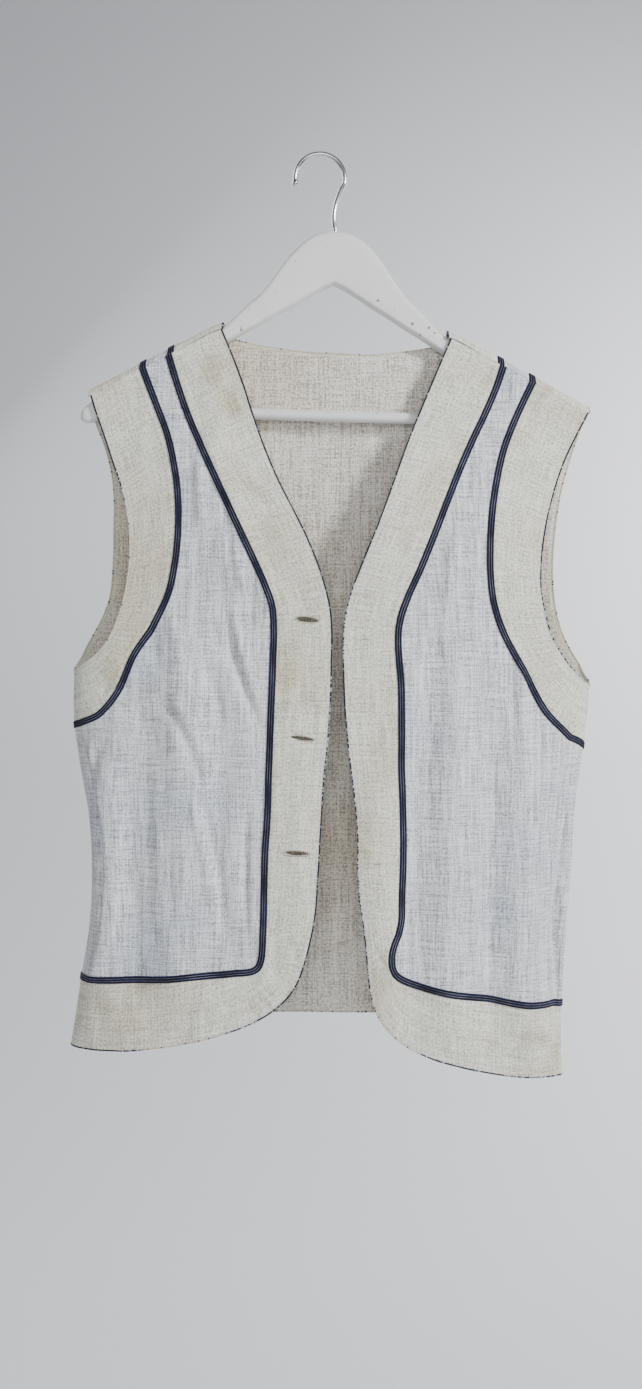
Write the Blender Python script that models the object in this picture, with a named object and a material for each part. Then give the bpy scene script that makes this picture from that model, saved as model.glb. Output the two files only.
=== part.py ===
"""A sleeveless linen folk vest on a flat wooden coat hanger that hangs by its wire hook.

The vest is a ring of cloth walls, worked out from its side outline, its depth and its folds. A place
on the cloth is a pair: its turn round the ring in degrees (0 at the middle of the front, 90 at the
right side as seen from the front, 180 at the middle of the back) and its height. Heights above the
hanger run on over the shoulder, along the cloth. Tables are in millimetres, in the frame of the
finished part: the hook hangs from the origin, the front faces -Y and +Z is up.
"""

import math

import bmesh
import bpy
import numpy as np

MM = 0.001

# Walls and gaps
CLOTH = 1.2
LINING = 1.0
LINING_GAP = 0.6
SEAM_GAP = 0.3
BRAID_WIDTH = 7.0
BRAID = 1.2
BRAID_GAP = 0.6
EDGING_WIDTH = 2.4
EDGING_RISE = 0.5
EDGING = 2.2
# The lining starts this far in from the free edges
LINING_INSET = 5.0

# Places worked out along each line: down an armhole, down a front beside it and below it, along a
# front's hem, along the back's neck and half its hem, down a side seam, and over the arm
ARMHOLE_STATIONS = 16
UPPER_STATIONS = 13
LOWER_STATIONS = 11
HEM_STATIONS = 14
NECK_STATIONS = 9
BACK_HEM_STATIONS = 10
SIDE_STATIONS = 7
ARC_STEPS = 7
# The hem's corner as a place down a front's line
CORNER_STATION = UPPER_STATIONS + LOWER_STATIONS - 2
# Heights over the hem's seam of the last rows of places down a side seam
LAST_SIDE_ROWS = (30.0, 13.0)
# Steps taken to find a place at a wanted distance, and how near counts as the same
SLIDE_ROUNDS = 4
NEAR = 0.01

# Hanger, in its own upright frame, which leans with the hook as pivot
HANGER_LEAN = 1.8
HANGER_MIDDLE = 14.0
ARM_HALF = 6.5
BAR_RADIUS = 5.0
BAR_HEIGHT = -234.0
BAR_HALF_LENGTH = 205.0
WIRE_RADIUS = 1.9
HOOK_RADIUS = 22.4
HOOK_MIDDLE = -1.2
# Turns round the hook's middle where the wire starts behind its ball and where it bends to the stem
HOOK_STARTS = 192.0
HOOK_LEAVES = -12.0
BALL_RADIUS = 2.7
# The wire starts this many ball radii after the ball's middle
BALL_TO_WIRE = 1.3
# What pulls the bend's curve: x and height of each handle, and the stem's top
BEND = [(12.5, -40.0), (10.5, -56.0), (HANGER_MIDDLE, -65.0)]
STEM_DEPTH = 16.0
# Rounding of the arm's section: most above, as a share of its height, and below in millimetres
TOP_ROUND_SHARE = 0.4545
FOOT_ROUND_SHARE = 0.4
FOOT_ROUND = 3.0

# The outer face of the cloth lies this far from the middle of the hanger's arm
SHOULDER_RADIUS = ARM_HALF + SEAM_GAP + LINING + LINING_GAP + CLOTH
HALF_ARC = 0.5 * math.pi * SHOULDER_RADIUS

# The shoulder line: level at the neck, then falling to each shoulder tip
NECK_MIDDLE = 12.0
NECK_HALF = 102.0
NECK_HEIGHT = -153.0
NECK_LEAN = 0.0395
LEFT_SLOPE = 0.5606
RIGHT_SLOPE = 0.512
NECK_SOFTNESS = 6.0

# Where front and back pieces meet: on the front, just under the shoulder line, and near each side
SHOULDER_SEAM = 1.6
SIDE_TURN = 88.0
SIDE_GAP_TURN = 0.25
# An x this far out in a table means the side seam
SIDE = 999.0

# Below the arms the two faces close into one ring between these heights
RING_STARTS = -310.0
RING_CLOSES = -440.0
FULL_DEPTH_DROP = 220.0
# Folds fade out this near the sides, as a share of the half width, and start below the shoulder
SIDE_FADE = 0.05
FOLD_DROP = 60.0
# Shares of a fold's length over which it rises and dies away
FOLD_RISES = 0.3
FOLD_FADES = 0.12

# Side outline: height, left side x, right side x
SIDES = np.array([
    (-830, -230, 216),
    (-800, -226, 215),
    (-768, -221, 215),
    (-735, -216, 217),
    (-690, -209, 220),
    (-640, -207, 224),
    (-590, -210, 227),
    (-545, -218, 233),
    (-505, -223, 238),
    (-460, -223, 242),
    (-140, -218, 246),
], float)

# Depth of the cloth in front of and behind the hanger: height, front, back
DEPTHS = np.array([
    (-840, 38, 31),
    (-650, 35, 29),
    (-500, 30, 26),
    (-400, 25, 22),
    (-300, 20, 16),
    (-150, 14, 10),
], float)

# Largest folds: face (1 front, -1 back), x at top, middle and foot, top, foot, half width, rise
FOLDS = [
    (1, -208, -190, -214, -505, -760, 14, 6.0),
    (1, -162, -156, -166, -440, -775, 15, -3.2),
    (1, -118, -124, -132, -380, -770, 16, 3.4),
    (1, -96, -90, -84, -420, -735, 13, -2.4),
    (1, -100, -84, -66, -215, -400, 20, 2.6),
    (1, -12, -20, -16, -470, -800, 17, 2.4),
    (1, 214, 208, 212, -520, -800, 8, -7.0),
    (1, 182, 178, 184, -490, -830, 13, 5.0),
    (1, 152, 146, 150, -440, -800, 13, -4.0),
    (1, 124, 112, 112, -400, -810, 15, 4.2),
    (1, 92, 88, 86, -430, -745, 12, -2.6),
    (1, 48, 50, 62, -520, -800, 16, 4.0),
    (1, 128, 104, 84, -225, -400, 22, -2.4),
    (-1, -168, -162, -172, -400, -860, 24, 3.0),
    (-1, -112, -106, -116, -330, -860, 26, -2.6),
    (-1, -50, -46, -44, -260, -860, 28, 3.2),
    (-1, 16, 20, 12, -290, -860, 26, -2.4),
    (-1, 78, 72, 80, -270, -860, 27, 3.0),
    (-1, 130, 138, 132, -360, -860, 24, -2.8),
    (-1, 180, 172, 178, -430, -860, 22, 2.8),
]

# Front band of the image's left front: free edge x and height, seam x and height, down to the side
LEFT_FRONT_BAND = [
    (-89, None, -137, None),
    (-73, -198, -123, -226),
    (-61, -235, -108, -262),
    (-43, -284, -90, -302),
    (-21, -329, -71, -343),
    (-4, -367, -52, -384),
    (8, -410, -43, -412),
    (9, -450, -43, -450),
    (7, -510, -45, -510),
    (1, -577, -47, -577),
    (-2, -630, -50, -630),
    (-5, -674, -51, -680),
    (-12, -710, -52, -707),
    (-22, -738, -54, -719),
    (-40, -759, -60, -725.5),
    (-68, -775, -75, -727.5),
    (-110, -788, -112, -731),
    (-154, -796, -155, -735),
    (-192, -799, -190, -736.5),
    (-SIDE, -799, -SIDE, -737),
]
# The row at the hem's corner, and the part of a row that lies level with the armhole's foot
LEFT_CORNER = 13
LEFT_LEVEL = 7.8

RIGHT_FRONT_BAND = [
    (114.5, None, 162, None),
    (102, -196, 152, -220),
    (84, -239, 136, -254),
    (69, -278, 119, -293),
    (54, -321, 103, -334),
    (36, -366, 86, -376),
    (22, -405, 71, -411),
    (18, -440, 67, -440),
    (19, -490, 70, -492),
    (24, -545, 69.5, -545),
    (30, -600, 71, -600),
    (30.5, -650, 70, -655),
    (35, -684, 69, -685),
    (38, -712, 62.5, -704),
    (41, -742, 60.5, -716),
    (50, -768, 64, -728),
    (72, -791, 78, -736.5),
    (105, -806, 105, -744),
    (148, -817, 148, -752),
    (185, -823, 185, -758),
    (SIDE, -826, SIDE, -761),
]
RIGHT_CORNER = 14
RIGHT_LEVEL = 8.5

# Armhole bands: free edge x and height, seam x and height, from the shoulder to the side seam
LEFT_FRONT_ARMHOLE = [
    (-207, None, -160, None),
    (-196, -251, -147, -228),
    (-186, -281, -137, -255),
    (-177, -307, -131, -281),
    (-172, -335, -127, -312),
    (-171, -360, -127, -343),
    (-174, -388, -131, -380),
    (-182, -418, -143, -415),
    (-192, -438, -163, -443),
    (-203, -450, -178, -478),
    (-213, -457, -196, -501),
    (-220, -461, -213, -509),
    (-SIDE, -462, -SIDE, -512),
]

RIGHT_FRONT_ARMHOLE = [
    (238, None, 188, None),
    (228, -253, 177, -229),
    (217, -276, 167, -252),
    (209, -298, 159, -276),
    (202, -322, 153, -305),
    (197, -347, 149, -335),
    (194, -377, 148, -368),
    (196, -400, 150, -398),
    (202, -427, 159, -428),
    (213, -448, 174, -456),
    (224, -462, 195, -496),
    (234, -472, 218, -520),
    (SIDE, -476, SIDE, -531),
]

LEFT_BACK_ARMHOLE = [
    (-209, None, -160, None),
    (-206, -238, -157, -218),
    (-197, -262, -149, -245),
    (-191, -290, -144, -275),
    (-190, -320, -142, -312),
    (-191, -352, -143, -350),
    (-192, -384, -146, -390),
    (-197, -406, -154, -425),
    (-205, -424, -168, -458),
    (-213, -439, -184, -486),
    (-218, -450, -203, -504),
    (-222.2, -458, -216.5, -510.5),
    (-SIDE, -462, -SIDE, -512),
]

RIGHT_BACK_ARMHOLE = [
    (240, None, 188, None),
    (236, -242, 185, -226),
    (227, -268, 178, -255),
    (217, -305, 170, -290),
    (213, -340, 166, -330),
    (211, -372, 165, -372),
    (213, -402, 168, -415),
    (218, -424, 178, -448),
    (225, -441, 190, -476),
    (233, -455, 205, -501),
    (238, -466, 222, -519),
    (241.4, -473, 233.5, -528),
    (SIDE, -476, SIDE, -531),
]

# Back neck band: free edge x and height, seam x and height, from shoulder to shoulder
BACK_NECK = [
    (-88, None, -135, None),
    (-66, -165, -108, -203),
    (-30, -171.5, -58, -221),
    (12, -174.5, 12, -226.5),
    (54, -175.5, 80, -223),
    (92, -170.5, 130, -207),
    (112, None, 160, None),
]

# Back hem band: free edge x and height, seam x and height, from side to side
BACK_HEM = [
    (-SIDE, -799, -SIDE, -737),
    (-222, -798.4, -212.5, -736.4),
    (-186, -795, -186, -732),
    (-140, -788, -140, -725),
    (-94, -782, -94, -719),
    (-42, -779, -42, -716),
    (12, -778, 12, -715),
    (64, -780, 64, -717),
    (110, -788, 110, -725),
    (150, -800, 150, -737),
    (188, -813, 188, -749),
    (211, -824.4, 210.5, -759.6),
    (SIDE, -826, SIDE, -761),
]

# Buttonholes in the left front's band: x of the middle, height, lean in degrees
BUTTONHOLES = [(-13.0, -419.0, 6.5), (-17.5, -523.0, 8.0), (-22.0, -623.0, 3.5)]
BUTTONHOLE_LENGTH = 20.0
BUTTONHOLE_WIDTH = 1.4
BUTTONHOLE_DEPTH = 16.0

# Steps of the round parts: the arm's top and foot, the bar, the wire, the ball, the hook's round, the
# bend to the stem and the drilled holes
TOP_STEPS = 6
FOOT_STEPS = 4
BAR_SIDES = 20
WIRE_SIDES = 8
BALL_STEPS = 7
HOOK_STEPS = 14
BEND_STEPS = 6
HOLE_SIDES = 24

# Hanger body: distance from its middle, top, foot, half thickness
HANGER = [
    (0.0, -68.0, -116.5, 6.5),
    (9.0, -68.8, -120.2, 6.5),
    (18.0, -71.8, -125.5, 6.5),
    (27.0, -77.6, -131.0, 6.5),
    (36.0, -86.2, -136.6, 6.5),
    (45.0, -97.4, -141.8, 6.5),
    (54.0, -110.6, -147.2, 6.5),
    (65.0, -125.0, -154.0, 6.5),
    (79.0, -138.2, -162.0, 6.5),
    (91.0, -150.4, -169.4, 6.5),
    (98.0, -157.0, -173.6, 6.5),
    (106.0, -161.6, -178.4, 6.5),
    (150.0, -186.0, -204.5, 6.5),
    (175.0, -201.0, -220.5, 6.5),
    (198.0, -215.4, -237.0, 6.5),
    (211.0, -224.4, -245.5, 6.3),
    (219.0, -231.0, -247.0, 5.6),
    (223.0, -235.4, -244.5, 3.6),
]

# Colour, roughness and metallic value of each material
MATERIALS = {
    "linen_panel": ((0.72, 0.75, 0.80), 0.9, 0.0),
    "linen_band": ((0.82, 0.77, 0.66), 0.92, 0.0),
    "linen_lining": ((0.52, 0.45, 0.36), 0.95, 0.0),
    "navy_braid": ((0.035, 0.045, 0.10), 0.8, 0.0),
    "edge_cord": ((0.20, 0.21, 0.29), 0.85, 0.0),
    "white_paint": ((0.85, 0.84, 0.82), 0.45, 0.0),
    "chrome_wire": ((0.75, 0.75, 0.77), 0.2, 1.0),
}


def clear_scene():
    for thing in list(bpy.data.objects):
        bpy.data.objects.remove(thing, do_unlink=True)


def ease(share):
    """0 below 0, 1 above 1, and a soft rise between."""
    share = np.clip(share, 0.0, 1.0)
    return share * share * (3 - 2 * share)


def hermite(low, high, low_slope, high_slope, share):
    square = share * share
    cube = square * share
    start = (2 * cube - 3 * square + 1) * low + (cube - 2 * square + share) * low_slope
    return start + (3 * square - 2 * cube) * high + (cube - square) * high_slope


def read(knots, values, at):
    """A table's column on a smooth curve through its rows, held level past its ends."""
    at = np.clip(at, knots[0], knots[-1])
    slopes = np.gradient(values, knots)
    row = np.clip(np.searchsorted(knots, at, side="right") - 1, 0, len(knots) - 2)
    span = knots[row + 1] - knots[row]
    share = (at - knots[row]) / span
    return hermite(values[row], values[row + 1], slopes[row] * span, slopes[row + 1] * span, share)


def between_rows(rows, stations):
    """The rows of a table at fractional row numbers, on a smooth curve through every row."""
    rows = np.asarray(rows, float)
    slopes = np.gradient(rows, axis=0)
    row = np.clip(np.floor(stations).astype(int), 0, len(rows) - 2)
    share = (np.asarray(stations) - row)[:, None]
    return hermite(rows[row], rows[row + 1], slopes[row], slopes[row + 1], share)


def side_xs(height):
    """Middle and half width of the vest at a height."""
    left = read(SIDES[:, 0], SIDES[:, 1], height)
    right = read(SIDES[:, 0], SIDES[:, 2], height)
    return (left + right) / 2, (right - left) / 2


def shoulder_line(x):
    """Height of the top of the cloth over the hanger's arms."""
    out = np.abs(x - NECK_MIDDLE) - NECK_HALF
    fall = (out + np.sqrt(out * out + NECK_SOFTNESS**2)) / 2
    slope = np.where(x < NECK_MIDDLE, LEFT_SLOPE, RIGHT_SLOPE)
    return NECK_HEIGHT - NECK_LEAN * (x - NECK_MIDDLE) - slope * fall


def fold_rise(face, x, height):
    """How far the folds of one face stand out from it."""
    total = np.zeros_like(x)
    for side, top_x, middle_x, foot_x, top, foot, half_width, rise in FOLDS:
        down = np.clip((top - height) / (top - foot), 0.0, 1.0)
        bow = 4 * down * (1 - down) * (middle_x - (top_x + foot_x) / 2)
        away = x - (top_x + (foot_x - top_x) * down + bow)
        ends = ease(down / FOLD_RISES) * ease((1 - down) / FOLD_FADES)
        total += np.where(face == side, rise * ends * np.exp(-((away / half_width) ** 2)), 0.0)
    return total


def surface(turn, height):
    """Points of the vest's outer face, in millimetres."""
    radians = np.radians(turn)
    middle, half = side_xs(height)
    across = np.sin(radians)
    x = middle + half * across
    face = np.where(np.cos(radians) >= 0, 1.0, -1.0)
    centre = shoulder_line(x) - SHOULDER_RADIUS
    drop = np.maximum(centre - height, 0.0)
    depth = np.where(
        face > 0,
        read(DEPTHS[:, 0], DEPTHS[:, 1], height),
        read(DEPTHS[:, 0], DEPTHS[:, 2], height),
    )
    round_off = np.sqrt(np.maximum(1 - np.abs(across) ** 3, 0.0))
    apart = SHOULDER_RADIUS * (1 - ease((RING_STARTS - height) / (RING_STARTS - RING_CLOSES)))
    near_side = ease((1 - np.abs(across)) / SIDE_FADE)
    out = apart + depth * ease(drop / FULL_DEPTH_DROP) * round_off
    out = out + fold_rise(face, x, height) * near_side * ease(drop / FOLD_DROP)
    over = np.maximum(height - centre, 0.0) / SHOULDER_RADIUS
    y = np.where(over > 0, SHOULDER_RADIUS * np.cos(over), out)
    z = np.where(over > 0, centre + SHOULDER_RADIUS * np.sin(over), height)
    return np.stack([x, -face * y, z], axis=-1)


def unit(vectors):
    return vectors / np.linalg.norm(vectors, axis=-1, keepdims=True)


def directions(places):
    """How the surface moves for one degree and for one millimetre of height."""
    turn, height = places[..., 0], places[..., 1]
    per_turn = (surface(turn + 0.05, height) - surface(turn - 0.05, height)) / 0.1
    per_height = (surface(turn, height + 0.05) - surface(turn, height - 0.05)) / 0.1
    return per_turn, per_height


def outward(places):
    per_turn, per_height = directions(places)
    return unit(np.cross(per_turn, per_height))


def lifted(places, lift):
    """The places as points moved out of the cloth's outer face, or into it where lift is negative."""
    return surface(places[..., 0], places[..., 1]) + lift * outward(places)


def turn_at(face, x, height):
    """The turn of an x on the front (1) or the back (-1)."""
    middle, half = side_xs(height)
    turn = np.degrees(np.arcsin(np.clip((x - middle) / half, -1.0, 1.0)))
    return np.where(face > 0, turn, 180.0 - turn)


def over_start(places):
    """How far along the cloth each place lies above the height where it starts to bend over the arm."""
    x = surface(places[..., 0], places[..., 1])[..., 0]
    return places[..., 1] - (shoulder_line(x) - SHOULDER_RADIUS)


def level_on_shoulder(places, over):
    """The places that bend over the shoulder, put back at their own distance from its start."""
    x = surface(places[..., 0], places[..., 1])[..., 0]
    height = shoulder_line(x) - SHOULDER_RADIUS + over
    face = np.where(np.cos(np.radians(places[..., 0])) >= 0, 1, -1)
    level = np.stack([turn_at(face, x, height), height], axis=-1)
    return np.where((over > -NEAR)[..., None], level, places)


def slid(line, distance):
    """A line on the cloth moved sideways in it: to the left of its run, as seen from outside.

    A place that bends over the shoulder moves along the shoulder line, and one at a side seam along it.
    """
    if distance == 0:
        return line
    start = surface(line[:, 0], line[:, 1])
    along = unit(np.gradient(start, axis=0))
    target = start + distance * unit(np.cross(outward(line), along))
    places = line.copy()
    for _ in range(SLIDE_ROUNDS):
        miss = target - surface(places[:, 0], places[:, 1])
        per_turn, per_height = directions(places)
        a = np.sum(per_turn * per_turn, axis=1)
        b = np.sum(per_turn * per_height, axis=1)
        c = np.sum(per_height * per_height, axis=1)
        first = np.sum(per_turn * miss, axis=1)
        second = np.sum(per_height * miss, axis=1)
        scale = a * c - b * b
        step = np.stack([(c * first - b * second) / scale, (a * second - b * first) / scale], axis=1)
        places = places + step
    places = level_on_shoulder(places, over_start(line))
    from_side = np.abs(np.abs((line[:, 0] + 180) % 360 - 180) - SIDE_TURN)
    places[:, 0] = np.where(from_side < 2 * SIDE_GAP_TURN, line[:, 0], places[:, 0])
    return places


def place(face, x, height):
    """The place on the front (1) or the back (-1) at an x. No height means the top of the front there,
    at the shoulder seam, or the height where the back starts to bend over the shoulder."""
    if height is None:
        height = float(shoulder_line(x)) - SHOULDER_RADIUS
        height += SHOULDER_SEAM - SEAM_GAP / 2 if face > 0 else 0.0
    if abs(x) == SIDE:
        turn = SIDE_TURN - face * SIDE_GAP_TURN
        return (math.copysign(turn, x) if face > 0 or x > 0 else 360.0 - turn), height
    return float(turn_at(face, x, float(height))), height


def stations_to_side(last, count):
    """Evenly spread row numbers, closer together over the last row, where the cloth rounds the side."""
    return np.append(np.linspace(0, last - 1, count - 3), last - np.array([2, 1, 0]) / 3)


def band_lines(face, table, stations):
    """Free edge and seam of a band, as two lines with a place for each station."""
    rows = [place(face, *row[:2]) + place(face, *row[2:]) for row in table]
    places = between_rows(rows, stations)
    return places[:, :2], places[:, 2:]


def armhole_lines(face, table):
    return band_lines(face, table, stations_to_side(len(table) - 1, ARMHOLE_STATIONS))


def front_stations(table, corner, level):
    """Row numbers down a front band: to the armhole's foot, to the hem's corner and along the hem."""
    upper = np.linspace(0, level, UPPER_STATIONS)
    lower = np.linspace(level, corner, LOWER_STATIONS)[1:]
    hem = corner + stations_to_side(len(table) - 1 - corner, HEM_STATIONS)[1:]
    return np.concatenate([upper, lower, hem])


def over_shoulder(line, x):
    """A back line led on from its first place over the hanger's arm to the shoulder seam in front."""
    end = 2 * HALF_ARC - SHOULDER_SEAM - SEAM_GAP / 2
    centre = float(shoulder_line(x)) - SHOULDER_RADIUS
    rows = []
    for step in range(ARC_STEPS, 0, -1):
        height = centre + end * step / ARC_STEPS
        rows.append(place(-1, x, height))
    return np.vstack([rows, line])


def hem_lines():
    """The back hem's free edge and seam, with places closer together at both sides."""
    half = len(BACK_HEM) // 2
    stations = stations_to_side(half, BACK_HEM_STATIONS)
    left = band_lines(-1, BACK_HEM[half::-1], stations)
    right = band_lines(-1, BACK_HEM[half:], stations)
    return tuple(np.vstack([one[::-1], other[1:]]) for one, other in zip(left, right))


def back_armhole_lines(table):
    edge, seam = armhole_lines(-1, table)
    return over_shoulder(edge, table[0][0]), over_shoulder(seam, table[0][2])


def ruled(first, second, shares):
    """A grid between two lines: one row for each place along them, one column for each share."""
    shares = np.asarray(shares)[None, :, None]
    grid = first[:, None, :] * (1 - shares) + second[:, None, :] * shares
    over = over_start(first)[:, None] * (1 - shares[..., 0]) + over_start(second)[:, None] * shares[..., 0]
    return level_on_shoulder(grid, over)


def material(name):
    found = bpy.data.materials.get(name)
    if found:
        return found
    colour, roughness, metallic = MATERIALS[name]
    made = bpy.data.materials.new(name)
    made.use_nodes = True
    shader = made.node_tree.nodes["Principled BSDF"]
    shader.inputs["Base Color"].default_value = (*colour, 1.0)
    shader.inputs["Roughness"].default_value = roughness
    shader.inputs["Metallic"].default_value = metallic
    made.diffuse_color = (*colour, 1.0)
    return made


def make_object(name, points, faces, finish):
    """A mesh object from points in millimetres, its faces turned to point out."""
    mesh = bpy.data.meshes.new(name)
    mesh.from_pydata((np.asarray(points) * MM).tolist(), [], faces)
    shape = bmesh.new()
    shape.from_mesh(mesh)
    bmesh.ops.recalc_face_normals(shape, faces=shape.faces)
    if shape.calc_volume(signed=True) < 0:
        bmesh.ops.reverse_faces(shape, faces=shape.faces)
    shape.to_mesh(mesh)
    shape.free()
    mesh.materials.append(material(finish))
    mesh.shade_smooth()
    mesh.set_sharp_from_angle(angle=math.radians(40))
    thing = bpy.data.objects.new(name, mesh)
    bpy.context.scene.collection.objects.link(thing)
    return thing


def runs_outward(grid):
    """Whether faces that follow a grid's rows and columns turn out of the vest."""
    one = grid[1:, 1:] - grid[:-1, :-1]
    other = grid[1:, :-1] - grid[:-1, 1:]
    return np.sum(one[..., 0] * other[..., 1] - one[..., 1] * other[..., 0]) >= 0


def wall(name, grids, top, foot, finish):
    """A closed wall between two lifts over the cloth's outer face, joined where its grids share places."""
    numbers = {}
    faces = []
    for grid in grids:
        if not runs_outward(grid):
            grid = grid[::-1]
        index = np.empty(grid.shape[:2], int)
        for row, column in np.ndindex(*grid.shape[:2]):
            key = tuple(np.round(grid[row, column], 3))
            index[row, column] = numbers.setdefault(key, len(numbers))
        for row, column in np.ndindex(grid.shape[0] - 1, grid.shape[1] - 1):
            corners = (
                index[row, column],
                index[row, column + 1],
                index[row + 1, column + 1],
                index[row + 1, column],
            )
            first, second, third, fourth = (int(n) for n in corners)
            faces += [[first, second, third], [first, third, fourth]]
    places = np.array(list(numbers))
    count = len(places)
    edges = {(a, b) for face in faces for a, b in zip(face, face[1:] + face[:1])}
    rims = []
    for a, b in sorted(edge for edge in edges if edge[::-1] not in edges):
        # Both sides of a seam are split from the outer end of the higher place
        if places[a, 1] > places[b, 1]:
            rims += [[b, a, b + count], [a, a + count, b + count]]
        else:
            rims += [[b, a, a + count], [b, a + count, b + count]]
    inner = [[n + count for n in reversed(face)] for face in faces]
    points = np.vstack([lifted(places, top), lifted(places, foot)])
    return make_object(name, points, faces + inner + rims, finish)


def cloth_wall(name, grids, finish):
    return wall(name, grids, 0.0, -CLOTH, finish)


def band_grid(edge, seam, inward):
    """A band's places, from its edging to its seam; inward is the slide that leads from edge to seam."""
    return grid_from_rim(slid(edge, inward * (EDGING_WIDTH + SEAM_GAP)), seam, inward)


def grid_from_rim(rim, seam, inward):
    grid = ruled(rim, slid(seam, -inward * BRAID_WIDTH / 2), [0, 0.5, 1])
    return np.concatenate([grid, slid(seam, -inward * SEAM_GAP / 2)[:, None]], axis=1)


def lining_grid(rim, band, seam):
    """The lining's places under a band: its own rim, the band's inner columns and the seam."""
    return np.concatenate([rim[:, None], band[:, 1:-1], seam[:, None]], axis=1)


def braid(name, seam):
    """A flat braid laid over a seam."""
    sides = [slid(seam, BRAID_WIDTH / 2), seam, slid(seam, -BRAID_WIDTH / 2)]
    grid = np.stack(sides, axis=1)
    return wall(name, [grid], BRAID_GAP + BRAID, BRAID_GAP, "navy_braid")


def edging(name, edge, inward):
    grid = np.stack([edge, slid(edge, inward * EDGING_WIDTH)], axis=1)
    return wall(name, [grid], EDGING_RISE, EDGING_RISE - EDGING, "edge_cord")


def filled(left, right, bottom, left_braid=None, right_braid=None, bottom_braid=None):
    """The places of a panel between its left and right lines and its bottom line.

    A braid line, where one is given, becomes the column or row next to that side, as far as it goes.
    """
    rows, columns = len(left), len(bottom)
    down = np.linspace(0, 1, rows)[:, None, None]
    along = np.linspace(0, 1, columns)[None, :, None]
    grid = left[:, None] * (1 - along) + right[:, None] * along
    straight = bottom[0] * (1 - along[0]) + bottom[-1] * along[0]
    grid = grid + down * (bottom - straight)[None]
    over = over_start(grid[:, [0, -1]])
    over = over[:, :1] * (1 - along[..., 0]) + over[:, 1:] * along[..., 0]
    grid = level_on_shoulder(grid, over)
    wanted_left = grid[:, 1].copy()
    wanted_right = grid[:, -2].copy()
    if left_braid is not None:
        wanted_left[: len(left_braid)] = left_braid
    if right_braid is not None:
        wanted_right[: len(right_braid)] = right_braid
    inner = np.linspace(0, 1, columns - 2)[None, :, None]
    left_move = (wanted_left - grid[:, 1])[:, None]
    right_move = (wanted_right - grid[:, -2])[:, None]
    grid[:-1, 1:-1] += (left_move * (1 - inner) + right_move * inner)[:-1]
    grid = level_on_shoulder(grid, np.where(over > -NEAR, over, -1.0))
    if bottom_braid is not None:
        grid[-2, 1:-1] = bottom_braid[1:-1]
    return grid


def side_heights(top, foot, count, first=BRAID_WIDTH / 2):
    """Heights down a side seam, from just under the armhole's braid, closer above the hem's braid."""
    near = foot + np.array([*LAST_SIDE_ROWS, BRAID_WIDTH / 2])
    if first:
        far = np.linspace(top - first, near[0], count - 3)[:-1]
    else:
        far = np.linspace(top, near[0], count - 2)[1:-1]
    return np.concatenate([far, near, [foot]])


def braid_column(braid_side):
    """The braid's edge as a panel's column; it ends on the side seam, half a step on from the column."""
    column = braid_side.copy()
    column[-1] = (braid_side[-1] + braid_side[-2]) / 2
    return column


def front_panel_grid(seam, corner, armhole_seam, hand):
    """The panel between a front's bands: hand is -1 for the image's left front and 1 for its right."""
    rest = corner + 1 - len(armhole_seam)
    heights = side_heights(armhole_seam[-1, 1], seam[-1, 1], rest)
    side = np.stack([np.full(rest, armhole_seam[-1, 0]), heights], axis=1)
    outer_side = np.vstack([slid(armhole_seam, -hand * SEAM_GAP / 2), side])
    seam_cut = slid(seam, hand * SEAM_GAP / 2)
    seam_braid = slid(seam, hand * BRAID_WIDTH / 2)
    bottom = seam_cut[corner:][::-1]
    outer_side[-1] = bottom[0]
    bottom_braid = seam_braid[corner:][::-1].copy()
    bottom_braid[-2] = seam_braid[corner]
    outer_braid = braid_column(slid(armhole_seam, -hand * BRAID_WIDTH / 2))
    return filled(
        outer_side,
        seam_cut[: corner + 1],
        bottom,
        outer_braid,
        seam_braid[: corner - 1],
        bottom_braid,
    )


def make_front(name, hand, band_table, corner, level, armhole_table):
    """One front: its panel, the band round its free edge and what lies on them."""
    edge, seam = band_lines(1, band_table, front_stations(band_table, corner, level))
    _, hole_seam = armhole_lines(1, armhole_table)
    grid = front_panel_grid(seam, CORNER_STATION, hole_seam, hand)
    cloth_wall("front_panel_" + name, [grid], "linen_panel")
    cloth_wall("front_band_" + name, [band_grid(edge, seam, hand)], "linen_band")
    braid("braid_front_" + name, seam)
    braid("braid_armhole_" + name, hole_seam)
    edging("edging_front_" + name, edge, hand)


def armhole_rings(hand, front_table, back_table):
    """The armhole's free edge all round, from the shoulder seam down the front and up the back."""
    front_edge, front_seam = armhole_lines(1, front_table)
    back_edge, back_seam = back_armhole_lines(back_table)
    turn_back = np.array([360.0 if hand < 0 else 0.0, 0.0])
    ring = np.vstack([front_edge, back_edge[::-1] - turn_back])
    seams = np.vstack([front_seam, back_seam[::-1] - turn_back])
    return ring, seams


def make_armhole(name, hand, front_table, back_table):
    """The armhole's two bands and its edging, worked out from one ring so that they meet."""
    ring, seams = armhole_rings(hand, front_table, back_table)
    inward = -hand
    edging("edging_armhole_" + name, ring, inward)
    rim = slid(ring, inward * (EDGING_WIDTH + SEAM_GAP))
    front, back = slice(0, ARMHOLE_STATIONS), slice(ARMHOLE_STATIONS, None)
    for face, part in (("front", front), ("back", back)):
        grid = grid_from_rim(rim[part], seams[part], inward)
        cloth_wall(face + "_armhole_band_" + name, [grid], "linen_band")
    grid = lining_grid(slid(ring, inward * LINING_INSET)[back], grid, seams[back])
    return grid + np.array([360.0 if hand < 0 else 0.0, 0.0])


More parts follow.
